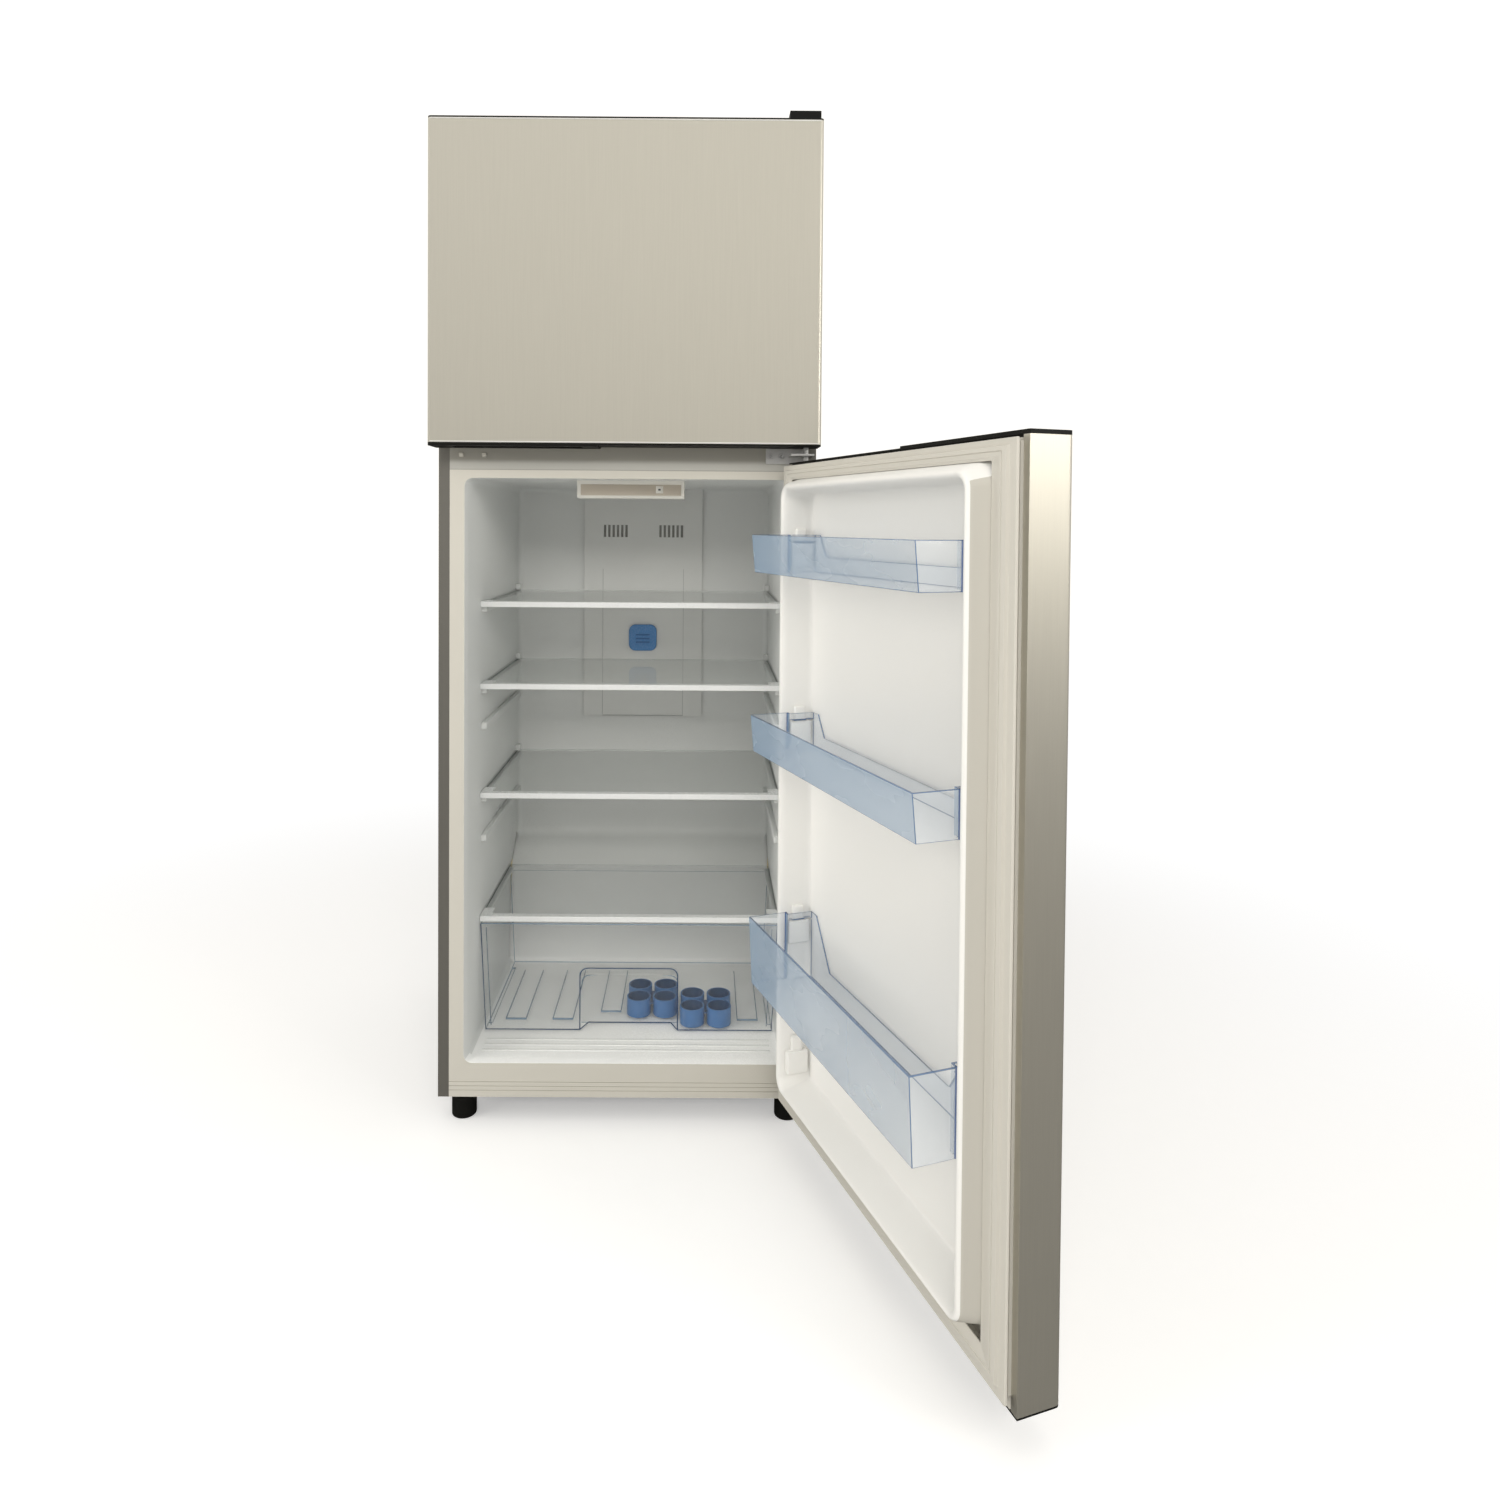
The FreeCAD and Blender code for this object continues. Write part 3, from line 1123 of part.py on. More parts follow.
piece("freezer_door_liner", freezer_lining)
piece("freezer_door_gasket", door_seal("freezer_door", FREEZER_BOTTOM, TOP))

# Hinges: a plate on the roof, a bracket on the divider rail and a plate under the base pan,
# each with the pins that the door caps turn on
HINGE_MIDDLE = f"({FRIDGE_TOP} + door_to_door / 2)"
PIN_REACH = "(cap_step + pin_depth)"
NEAR_END = f"{HINGE_Y} - hinge_reach"
FAR_END = f"{FRONT} + hinge_tail"
top_plate = box(
    "top_hinge_plate",
    (f"{HINGE_X} - 2 * hinge_reach", f"{HINGE_X} + hinge_reach"),
    (NEAR_END, FAR_END),
    (TOP, f"{TOP} + hinge_plate"),
)
top_pin = cylinder(
    "top_pin", "z", "hinge_pin", (HINGE_X, HINGE_Y, f"{TOP} - {PIN_REACH}"), f"{PIN_REACH} + hinge_plate"
)
piece("top_hinge", join("top_hinge_solid", top_plate, top_pin))
middle_plate = box(
    "middle_hinge_plate",
    (f"{HINGE_X} - 5 * hinge_reach", f"{FLANGE_HALF} - clearance"),
    (f"{FRONT} - hinge_plate", FRONT),
    (f"{FRIDGE_TOP} - hinge_plate", f"{FREEZER_BOTTOM} + hinge_plate"),
)
middle_arm = box(
    "middle_hinge_arm",
    (f"{HINGE_X} - 2 * hinge_reach", f"{HINGE_X} + hinge_reach"),
    (NEAR_END, f"{FRONT} - hinge_plate / 2"),
    (f"{HINGE_MIDDLE} - hinge_plate / 2", f"{HINGE_MIDDLE} + hinge_plate / 2"),
)
middle_pin = cylinder(
    "middle_pin",
    "z",
    "hinge_pin",
    (HINGE_X, HINGE_Y, f"{FRIDGE_TOP} - {PIN_REACH}"),
    f"door_to_door + 2 * {PIN_REACH}",
)
piece("middle_hinge", join("middle_hinge_solid", middle_plate, middle_arm, middle_pin))
BRACKET_X = (f"{FOOT_X} + stud_radius * 2.2 + clearance", f"{HALF} - 2 * clearance")
bottom_plate = box("bottom_hinge_plate", BRACKET_X, (NEAR_END, FAR_END), (f"{BOTTOM} - hinge_plate", BOTTOM))
bottom_pin = cylinder(
    "bottom_pin",
    "z",
    "hinge_pin",
    (HINGE_X, HINGE_Y, f"{BOTTOM} - hinge_plate"),
    f"{PIN_REACH} + hinge_plate",
)
piece("bottom_hinge", join("bottom_hinge_solid", bottom_plate, bottom_pin))

# Top hinge cover: a moulded hood that stands on the roof
hood_block = box(
    "hood_block",
    (f"{HINGE_X} - 2.5 * hinge_reach", f"{HINGE_X} + 1.5 * hinge_reach"),
    (f"{NEAR_END} - hinge_plate", f"{FAR_END} + hinge_plate"),
    (TOP, f"{TOP} + hinge_cover"),
)
hood_space = box(
    "hood_space",
    (f"{HINGE_X} - 2.5 * hinge_reach + liner_wall", f"{HINGE_X} + 1.5 * hinge_reach - liner_wall"),
    (f"{NEAR_END} - hinge_plate + liner_wall", f"{FAR_END} + hinge_plate - liner_wall"),
    (f"{TOP} - liner_wall", f"{TOP} + hinge_cover - liner_wall"),
)
piece("top_hinge_cover", carve("hood", hood_block, hood_space))

# Hinge screws: round heads with a drive socket, three on the roof, two on the divider, two below
HEAD = "(screw_head * 0.6)"
SOCKET = "(screw_head * 0.4)"
ROOF_X = f"{HINGE_X} - hinge_reach / 2"
UNDER_X = f"{HINGE_X} + hinge_reach / 4"
UNDER_Z = f"{BOTTOM} - hinge_plate - {HEAD}"
head_places = [
    ("z", (ROOF_X, f"{FRONT} + hinge_tail * {step} / 7", f"{TOP} + hinge_plate"), 1)
    for step in (2, 4, 6)
]
head_places += [
    ("y", (f"{HINGE_X} - hinge_reach * {step}", f"{FRONT} - hinge_plate - {HEAD}", HINGE_MIDDLE), -1)
    for step in (3, 4.4)
]
head_places += [
    ("z", (UNDER_X, f"{FRONT} + hinge_tail * {step} / 7", UNDER_Z), -1)
    for step in (3, 6)
]
heads = []
for index, (axis, start, outward) in enumerate(head_places):
    head = cylinder(f"screw_{index}_head", axis, "screw_head", start, HEAD)
    bottom = {"y": 1, "z": 2}[axis]
    socket_start = list(start)
    socket_start[bottom] = f"{start[bottom]} + {HEAD} / 2" if outward > 0 else f"{start[bottom]} - {HEAD} / 2"
    socket = cylinder(f"screw_{index}_socket", axis, SOCKET, socket_start, HEAD)
    heads.append(carve(f"screw_{index}", head, socket))
piece("hinge_screws", group("hinge_screw_set", *heads))

# Freezer shelf: a slotted plate with a front lip, on the freezer's ledges
COVER_FRONT = f"({CAVITY_BACK} - cooler_depth - cover_plate)"
FREEZER_FLOOR = f"({FREEZER_LOW} + lip_flare)"
freezer_plate = box(
    "freezer_shelf_plate",
    both(SHELF_HALF),
    (SHELF_FRONT, f"{COVER_FRONT} - shelf_gap"),
    (FREEZER_SEAT, f"{FREEZER_SEAT} + trim_height * 0.7"),
)
freezer_lip = box(
    "freezer_shelf_lip",
    both(SHELF_HALF),
    (SHELF_FRONT, f"{SHELF_FRONT} + trim_depth / 2"),
    (f"{FREEZER_SEAT} - trim_height", f"{FREEZER_SEAT} + trim_height * 1.6"),
)
SHELF_SLOTS = 8
shelf_slots = [
    box(
        f"freezer_slot_{step}",
        (
            f"-{SHELF_HALF} + 2 * {SHELF_HALF} * ({step} + 0.3) / {SHELF_SLOTS}",
            f"-{SHELF_HALF} + 2 * {SHELF_HALF} * ({step} + 0.7) / {SHELF_SLOTS}",
        ),
        (f"{SHELF_FRONT} + 3 * trim_depth", f"{COVER_FRONT} - shelf_gap - 2 * trim_depth"),
        (f"{FREEZER_SEAT} - trim_height", f"{FREEZER_SEAT} + 2 * trim_height"),
    )
    for step in range(SHELF_SLOTS)
]
freezer_rack = join("freezer_rack_solid", freezer_plate, freezer_lip)
piece("freezer_shelf", carve("freezer_rack", freezer_rack, *shelf_slots))

# Evaporator cover: the freezer's rear wall, with outlet slots over the fan and return slots below
FAN_Z = f"({FREEZER_HIGH} - fan_radius * 1.8)"
cover_block = box(
    "cover_block",
    both(f"{ROOM_HALF} - clearance"),
    (COVER_FRONT, f"{COVER_FRONT} + cover_plate"),
    (f"{FREEZER_FLOOR} + clearance", f"{FREEZER_HIGH} - clearance"),
)
cover_slots = []
for step in range(-3, 4):
    cover_slots.append(
        box(
            f"outlet_slot_{step + 3}",
            both("fan_radius * 1.5"),
            (f"{COVER_FRONT} - cover_plate", f"{COVER_FRONT} + 2 * cover_plate"),
            around(f"{FAN_Z} + fan_radius * {step} / 3.5", "fan_radius / 14"),
        )
    )
    cover_slots.append(
        box(
            f"return_slot_{step + 3}",
            (f"fan_radius * ({step} - 0.35)", f"fan_radius * ({step} + 0.35)"),
            (f"{COVER_FRONT} - cover_plate", f"{COVER_FRONT} + 2 * cover_plate"),
            (f"{FREEZER_FLOOR} + 2 * cover_plate", f"{FREEZER_FLOOR} + 4 * cover_plate"),
        )
    )
piece("evaporator_cover", carve("evaporator_cover_plate", cover_block, *cover_slots))

# Fan: a motor on the freezer's back wall and a four-bladed rotor on its shaft
MOTOR_RADIUS = "(fan_radius * 0.5)"
MOTOR_FRONT = f"({CAVITY_BACK} - cooler_depth * 0.4)"
ROTOR_LENGTH = "(cooler_depth * 0.22)"
SHAFT = "(fan_radius * 0.06)"
HUB = "(fan_radius * 0.28)"
MOTOR_LENGTH = f"{CAVITY_BACK} - {MOTOR_FRONT}"
motor_can = cylinder("motor_can", "y", MOTOR_RADIUS, ("0", MOTOR_FRONT, FAN_Z), MOTOR_LENGTH)
shaft_start = ("0", f"{MOTOR_FRONT} - {ROTOR_LENGTH} - 3 * clearance", FAN_Z)
motor_shaft = cylinder("motor_shaft", "y", SHAFT, shaft_start, f"{ROTOR_LENGTH} + 4 * clearance")
piece("fan_motor", join("fan_motor_solid", motor_can, motor_shaft))
ROTOR_START = ("0", f"{MOTOR_FRONT} - {ROTOR_LENGTH} - clearance", FAN_Z)
BLADE_PITCH = 32
rotor_solids = [cylinder("rotor_hub", "y", HUB, ROTOR_START, f"{ROTOR_LENGTH} - clearance")]
for turn in range(0, 360, 90):
    blade = taper(
        f"blade_{turn}",
        both("fan_radius * 0.015"),
        (f"{HUB} * 0.8", "fan_radius"),
        both(f"{ROTOR_LENGTH} * 0.7"),
        (f"{HUB} * 0.8", "fan_radius"),
        both(f"{ROTOR_LENGTH} * 0.7"),
    )
    about_shaft = FreeCAD.Rotation(FreeCAD.Vector(0, 1, 0), turn)
    pitched = FreeCAD.Rotation(FreeCAD.Vector(1, 0, 0), BLADE_PITCH)
    blade.Placement = FreeCAD.Placement(FreeCAD.Vector(), about_shaft.multiply(pitched))
    middle = f"{MOTOR_FRONT} - {ROTOR_LENGTH} / 2 - clearance"
    rotor_solids.append(bind(blade, Placement__Base__y=middle, Placement__Base__z=FAN_Z))
rotor_bore = cylinder(
    "rotor_bore",
    "y",
    f"{SHAFT} + pin_clearance",
    ("0", f"{MOTOR_FRONT} - 2 * {ROTOR_LENGTH}", FAN_Z),
    f"2 * {ROTOR_LENGTH}",
)
piece("fan_blade", carve("fan_rotor", join("fan_rotor_solid", *rotor_solids), rotor_bore))

# Evaporator: upright fins on four tubes; the two end fins reach back to the wall
FIN_COUNT = 16
FIN = "(steel * 1.5)"
FIN_LOW = f"({FREEZER_FLOOR} + fan_radius * 1.1)"
FIN_HIGH = f"({FAN_Z} - fan_radius * 1.25)"
FIN_Y = (f"{CAVITY_BACK} - cooler_depth * 0.85", f"{CAVITY_BACK} - cooler_depth * 0.15")
FIN_HALF = f"({ROOM_HALF} * 0.86)"
fins = []
for index in range(FIN_COUNT):
    last = index in (0, FIN_COUNT - 1)
    spot = f"-{FIN_HALF} + 2 * {FIN_HALF} * {index} / {FIN_COUNT - 1}"
    deep = (FIN_Y[0], CAVITY_BACK) if last else FIN_Y
    fins.append(box(f"fin_{index}", around(spot, f"{FIN} / 2"), deep, (FIN_LOW, FIN_HIGH)))
for row in range(4):
    level = f"{FIN_LOW} + ({FIN_HIGH} - {FIN_LOW}) * ({row} + 0.5) / 4"
    start = (f"-{FIN_HALF} - 4 * {FIN}", f"{CAVITY_BACK} - cooler_depth / 2", level)
    length = f"2 * {FIN_HALF} + 8 * {FIN}"
    fins.append(cylinder(f"cooling_tube_{row}", "x", "tube_radius * 1.6", start, length))
piece("evaporator", join("evaporator_solid", *fins))

# Defrost heater: a tube under the evaporator in two holders on the back wall
HEATER_Y = f"({CAVITY_BACK} - cooler_depth / 2)"
HEATER_Z = f"({FREEZER_FLOOR} + fan_radius * 0.6)"
heater_tube = cylinder(
    "heater_tube", "x", "tube_radius * 2", (f"-{FIN_HALF}", HEATER_Y, HEATER_Z), f"2 * {FIN_HALF}"
)
holders = [
    box(
        f"heater_holder_{side}",
        wall_span(sign, f"{FIN_HALF} - tube_radius * 4", f"{FIN_HALF} + tube_radius"),
        (f"{HEATER_Y} - tube_radius * 3", CAVITY_BACK),
        (f"{HEATER_Z} - tube_radius * 3", f"{HEATER_Z} + tube_radius * 3"),
    )
    for side, sign in SIDES.items()
]
piece("defrost_heater", join("defrost_heater_solid", heater_tube, *holders))

# Compressor: a domed shell with a weld band and a terminal box, on a foot plate
COMPRESSOR_X = "(-compressor_side)"
COMPRESSOR_Y = f"({MACHINE_FRONT} + compressor_radius + 8 * clearance)"
PLATE_LOW = f"({BASE_TOP} + grommet_height)"
DOME = "(compressor_height * 0.25)"
SHELL_LOW = f"({PLATE_LOW} + {DOME})"
SHELL_HIGH = f"({PLATE_LOW} + compressor_height - {DOME})"
PLATE_HALF_X = "(compressor_radius * 1.3)"
PLATE_HALF_Y = "(compressor_radius * 0.75)"


def dome(name, level):
    """A flattened ball that closes one end of the shell."""
    ball = doc.addObject("Part::Ellipsoid", name)
    bind(ball, Radius1=DOME, Radius2="compressor_radius", Radius3="compressor_radius")
    bind(ball, Placement__Base__x=COMPRESSOR_X, Placement__Base__y=COMPRESSOR_Y)
    return bind(ball, Placement__Base__z=level)


BAND_LOW = f"({SHELL_LOW} + {SHELL_HIGH}) / 2"
shell_solids = [
    cylinder(
        "shell_wall",
        "z",
        "compressor_radius",
        (COMPRESSOR_X, COMPRESSOR_Y, SHELL_LOW),
        f"{SHELL_HIGH} - {SHELL_LOW}",
    ),
    dome("shell_bottom", SHELL_LOW),
    dome("shell_top", SHELL_HIGH),
    cylinder(
        "weld_band",
        "z",
        "compressor_radius + base_steel",
        (COMPRESSOR_X, COMPRESSOR_Y, BAND_LOW),
        "base_steel * 4",
    ),
    box(
        "foot_plate",
        around(COMPRESSOR_X, PLATE_HALF_X),
        around(COMPRESSOR_Y, PLATE_HALF_Y),
        (PLATE_LOW, f"{PLATE_LOW} + base_steel * 2"),
    ),
    box(
        "terminal_box",
        (f"{COMPRESSOR_X} + compressor_radius * 0.8", f"{COMPRESSOR_X} + compressor_radius * 1.35"),
        around(COMPRESSOR_Y, "compressor_radius * 0.4"),
        (SHELL_LOW, f"{SHELL_LOW} + compressor_radius * 0.6"),
    ),
]
piece("compressor", join("compressor_solid", *shell_solids))

# Compressor mounts: four rubber blocks between the foot plate and the base pan
MOUNT = "(grommet_height * 0.75)"
mounts = []
for across in (-1, 1):
    for along in (-1, 1):
        spot = (
            f"{COMPRESSOR_X} + {across} * ({PLATE_HALF_X} - {MOUNT})",
            f"{COMPRESSOR_Y} + {along} * ({PLATE_HALF_Y} - {MOUNT})",
            BASE_TOP,
        )
        mounts.append(cylinder(f"mount_{across + 1}_{along + 1}", "z", MOUNT, spot, "grommet_height"))
piece("compressor_mounts", group("mount_set", *mounts))

# Drip tray: an open tray over the compressor, where the meltwater dries off
TRAY_LOW = f"({PLATE_LOW} + compressor_height + clearance)"
TRAY_HIGH = f"({TRAY_LOW} + compressor_radius / 2)"
tray_x = around(COMPRESSOR_X, f"{PLATE_HALF_X} * 1.2")
tray_y = around(COMPRESSOR_Y, PLATE_HALF_Y)
tray_block = box("tray_block", tray_x, tray_y, (TRAY_LOW, TRAY_HIGH))
tray_space = box(
    "tray_space",
    (f"{tray_x[0]} + liner_wall", f"{tray_x[1]} - liner_wall"),
    (f"{tray_y[0]} + liner_wall", f"{tray_y[1]} - liner_wall"),
    (f"{TRAY_LOW} + liner_wall", f"{TRAY_HIGH} + liner_wall"),
)
piece("drip_tray", carve("drip_tray_shell", tray_block, tray_space))

# Condenser: a serpentine tube behind the back panel, with upright wires and four stand-offs
RUNS = 10
WIRES = 16
COIL_LOW = f"({MACHINE_TOP} + room_height / 2)"
COIL_PITCH = f"(condenser_height / {RUNS - 1})"
COIL_HALF = f"(condenser_width / 2 - {COIL_PITCH} / 2)"
COIL_Y = f"({BACK} + condenser_gap + tube_radius)"
coil = []
for run in range(RUNS):
    level = f"{COIL_LOW} + {COIL_PITCH} * {run}"
    start = (f"-{COIL_HALF}", COIL_Y, level)
    coil.append(cylinder(f"run_{run}", "x", "tube_radius", start, f"2 * {COIL_HALF}"))
    if run + 1 < RUNS:
        sign = 1 if run % 2 == 0 else -1
        bend = doc.addObject("Part::Torus", f"bend_{run}")
        upright = FreeCAD.Rotation(FreeCAD.Vector(1, 0, 0), 90)
        facing = FreeCAD.Rotation(FreeCAD.Vector(0, 1, 0), 90 * sign)
        bend.Placement = FreeCAD.Placement(FreeCAD.Vector(), facing.multiply(upright))
        bend.Angle3 = 180
        bind(bend, Radius1=f"{COIL_PITCH} / 2", Radius2="tube_radius")
        bind(bend, Placement__Base__x=f"{sign} * {COIL_HALF}", Placement__Base__y=COIL_Y)
        coil.append(bind(bend, Placement__Base__z=f"{level} + {COIL_PITCH} / 2"))
WIRE_Y = f"({COIL_Y} + tube_radius + wire_radius / 2)"
wires = [
    cylinder(
        f"wire_{index}",
        "z",
        "wire_radius",
        (f"-{COIL_HALF} + 2 * {COIL_HALF} * {index} / {WIRES - 1}", WIRE_Y, f"{COIL_LOW} - 4 * tube_radius"),
        "condenser_height + 8 * tube_radius",
    )
    for index in range(WIRES)
]
stand_offs = [
    box(
        f"stand_off_{run}_{side}",
        wall_span(sign, f"{COIL_HALF} * 0.8", f"{COIL_HALF} * 0.86"),
        (BACK, COIL_Y),
        around(f"{COIL_LOW} + {COIL_PITCH} * {run}", "condenser_gap"),
    )
    for run in (1, RUNS - 2)
    for side, sign in SIDES.items()
]
piece("condenser", join("condenser_solid", *coil, *wires, *stand_offs))

# Refrigerant pipes: discharge to the top of the coil, liquid line to the drier, suction line
PIPE = "(tube_radius * 1.2)"


def pipe(name, start, *legs):
    """A pipe made of straight legs along the axes, with a ball at each corner."""
    here = list(start)
    solids = []
    for index, (axis, sign, length) in enumerate(legs):
        place = "xyz".index(axis)
        low = list(here)
        here[place] = f"({here[place]} + {sign} * ({length}))"
        if sign < 0:
            low[place] = here[place]
        solids.append(cylinder(f"{name}_leg_{index}", axis, PIPE, low, length))
        if index + 1 < len(legs):
            ball = doc.addObject("Part::Sphere", f"{name}_corner_{index}")
            bind(ball, Radius=PIPE)
            bind(ball, Placement__Base__x=here[0], Placement__Base__y=here[1], Placement__Base__z=here[2])
            solids.append(ball)
    return solids


PIPE_Z = f"({SHELL_LOW} + compressor_radius * 0.3)"
OUT_X = "(condenser_width / 2 + compressor_radius / 2)"
discharge = pipe(
    "discharge",
    (f"{COMPRESSOR_X} - compressor_radius", COMPRESSOR_Y, PIPE_Z),
    ("x", -1, f"{OUT_X} - compressor_side - compressor_radius"),
    ("y", 1, f"{COIL_Y} - {COMPRESSOR_Y}"),
    ("z", 1, f"{COIL_LOW} + condenser_height - {PIPE_Z}"),
    ("x", 1, f"{OUT_X} - {COIL_HALF}"),
)
DRIER_X = f"({COIL_HALF} + compressor_radius * 0.75)"
DRIER_END = f"({MACHINE_FRONT} + compressor_radius)"
liquid = pipe(
    "liquid",
    (f"-{COIL_HALF}", COIL_Y, COIL_LOW),
    ("x", -1, f"{DRIER_X} - {COIL_HALF}"),
    ("z", -1, f"{COIL_LOW} - {MACHINE_TOP} + compressor_radius / 4"),
    ("y", -1, f"{COIL_Y} - {DRIER_END} + clearance"),
)
drier = cylinder(
    "drier",
    "y",
    "tube_radius * 4",
    (f"-{DRIER_X}", MACHINE_FRONT, f"{MACHINE_TOP} - compressor_radius / 4"),
    f"{DRIER_END} - {MACHINE_FRONT}",
)
suction = pipe(
    "suction",
    (f"{COMPRESSOR_X} + compressor_radius", COMPRESSOR_Y, f"{SHELL_HIGH} - compressor_radius * 0.2"),
    ("x", 1, "compressor_radius"),
    ("y", -1, f"{COMPRESSOR_Y} - {MACHINE_FRONT}"),
)
piece(
    "refrigerant_pipes",
    group(
        "pipe_set",
        join("discharge_line", *discharge),
        join("liquid_line", *liquid, drier),
        join("suction_line", *suction),
    ),
)

# Mains gland: a terminal block on the base pan with an open cable sleeve towards the back
GLAND_X = "(compressor_side * 1.4)"
GLAND_HALF = "(compressor_radius * 0.5)"
gland_low = f"({BASE_TOP} + {GLAND_HALF})"
gland_y = (f"{MACHINE_FRONT} + {GLAND_HALF}", f"{MACHINE_FRONT} + 2 * {GLAND_HALF}")
gland_z = (BASE_TOP, f"{BASE_TOP} + 2 * {GLAND_HALF}")
gland_block = box("gland_block", around(GLAND_X, GLAND_HALF), gland_y, gland_z)
SLEEVE = "(stud_radius * 2)"
sleeve = cylinder("cable_sleeve", "y", SLEEVE, (GLAND_X, gland_y[0], gland_low), f"2 * {GLAND_HALF}")
hole_start = (GLAND_X, gland_y[1], gland_low)
sleeve_hole = cylinder("sleeve_hole", "y", "stud_radius", hole_start, f"3 * {GLAND_HALF}")
piece("mains_gland", carve("gland", join("gland_solid", gland_block, sleeve), sleeve_hole))

doc.recompute()
faults = [thing.Label for thing in doc.Objects if {"Invalid", "Error"} & set(thing.State)]
faults += [part.Label for part in PIECES if part.Shape.isNull() or not part.Shape.isValid()]
if faults:
    raise RuntimeError("failed: " + ", ".join(faults))
os.makedirs("parts", exist_ok=True)
for part in PIECES:
    part.Shape.exportStep(f"parts/{part.Label}.step")
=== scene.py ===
import bpy
import bmesh
import math
from mathutils import Matrix, Vector


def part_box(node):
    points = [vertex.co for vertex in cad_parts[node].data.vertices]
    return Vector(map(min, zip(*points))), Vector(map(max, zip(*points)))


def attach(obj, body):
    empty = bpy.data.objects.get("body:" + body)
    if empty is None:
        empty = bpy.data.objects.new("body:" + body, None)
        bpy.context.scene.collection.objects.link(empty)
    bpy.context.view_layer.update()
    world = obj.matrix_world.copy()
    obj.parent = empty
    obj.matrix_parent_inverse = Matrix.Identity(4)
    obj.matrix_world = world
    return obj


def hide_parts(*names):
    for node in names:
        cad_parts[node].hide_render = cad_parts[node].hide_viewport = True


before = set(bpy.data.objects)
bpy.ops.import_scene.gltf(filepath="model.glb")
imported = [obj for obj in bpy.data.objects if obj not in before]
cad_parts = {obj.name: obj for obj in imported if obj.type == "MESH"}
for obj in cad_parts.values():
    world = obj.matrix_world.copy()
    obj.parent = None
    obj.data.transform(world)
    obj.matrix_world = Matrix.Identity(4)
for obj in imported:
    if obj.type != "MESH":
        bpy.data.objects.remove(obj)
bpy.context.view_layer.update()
scene = bpy.context.scene
scene.view_settings.view_transform = "Standard"


# Outer casing. One steel sheet folded round the sides and the top, painted a warm dark grey.
# The paint is a powder coat, so it has a very fine orange-peel skin.
class Finish:
    """A material or a world seen from one of its sockets. Sums written with it add Math nodes."""

    def __init__(self, block, socket=None):
        self.block, self.tree, self.socket = block, block.node_tree, socket

    def node(self, kind, settings=None, inputs=None, out=0):
        made = self.tree.nodes.new("ShaderNode" + kind)
        for key, value in (settings or {}).items():
            setattr(made, key, value)
        for key, value in (inputs or {}).items():
            self.join(made.inputs[key], value)
        return Finish(self.block, made.outputs[out])

    def join(self, socket, value):
        if isinstance(value, Finish):
            self.tree.links.new(value.socket, socket)
        else:
            socket.default_value = value

    def feed(self, key, value):
        shader = self.tree.nodes.get("Principled BSDF") or self.tree.nodes["Background"]
        self.join(shader.inputs[key], value)

    def sum(self, operation, first, second):
        return self.node("Math", {"operation": operation}, {0: first, 1: second})

    def __add__(self, other):
        return self.sum("ADD", self, other)

    def __radd__(self, other):
        return self.sum("ADD", other, self)

    def __sub__(self, other):
        return self.sum("SUBTRACT", self, other)

    def __rsub__(self, other):
        return self.sum("SUBTRACT", other, self)

    def __mul__(self, other):
        return self.sum("MULTIPLY", self, other)

    def __rmul__(self, other):
        return self.sum("MULTIPLY", other, self)


def new_finish(name, constants):
    """A new material, with the values that are the same all over it."""
    block = bpy.data.materials.new(name)
    block.use_nodes = True
    finish = Finish(block)
    for key, value in constants.items():
        finish.feed(key, value)
    return finish


def place(finish, stretch=(1, 1, 1)):
    """A point of the surface in metres, stretched along the axes."""
    return finish.node("Mapping", {}, {"Vector": finish.node("TexCoord", out="Object"), "Scale": stretch})


def speckle(finish, cells, stretch=(1, 1, 1), detail=3.0):
    """Noise from 0 to 1 with so many cells to the metre."""
    inputs = {"Vector": place(finish, stretch), "Scale": cells, "Detail": detail}
    return finish.node("TexNoise", {"noise_dimensions": "3D"}, inputs)


def blend(finish, factor, first, second):
    """A colour between two colours, on the sockets that a Mix node keeps for colours."""
    return finish.node("Mix", {"data_type": "RGBA"}, {0: factor, 6: first, 7: second}, out=2)


def shade(colour, factor):
    """A colour made lighter or darker."""
    return tuple(min(1.0, channel * factor) for channel in colour) + (1.0,)


def relief(finish, height, depth):
    """Raises the surface by a height pattern of a given depth in metres."""
    finish.feed("Normal", finish.node("Bump", {}, {"Height": height, "Distance": depth, "Strength": 1.0}))


def enamel(name, colour, roughness, cells=700.0, peel=0.00004, metallic=0.0, patch=0.03, ior=1.48):
    """Paint or moulded plastic: a fine skin, a slow drift of tone and uneven gloss."""
    finish = new_finish(name, {"Metallic": metallic, "IOR": ior})
    skin = speckle(finish, cells)
    drift = speckle(finish, 3.0, detail=2.0)
    finish.feed("Base Color", blend(finish, drift, shade(colour, 1 - patch), shade(colour, 1 + patch)))
    finish.feed("Roughness", roughness + (skin - 0.5) * 0.12 + (drift - 0.5) * 0.08)
    relief(finish, skin, peel)
    return finish


def dress(node, finish):
    """Gives a CAD piece its finish."""
    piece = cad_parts[node]
    piece.data.materials.clear()
    piece.data.materials.append(finish.block)


dress("outer_casing", enamel("casing_paint", (0.165, 0.158, 0.140), 0.42, cells=900.0, metallic=0.3))


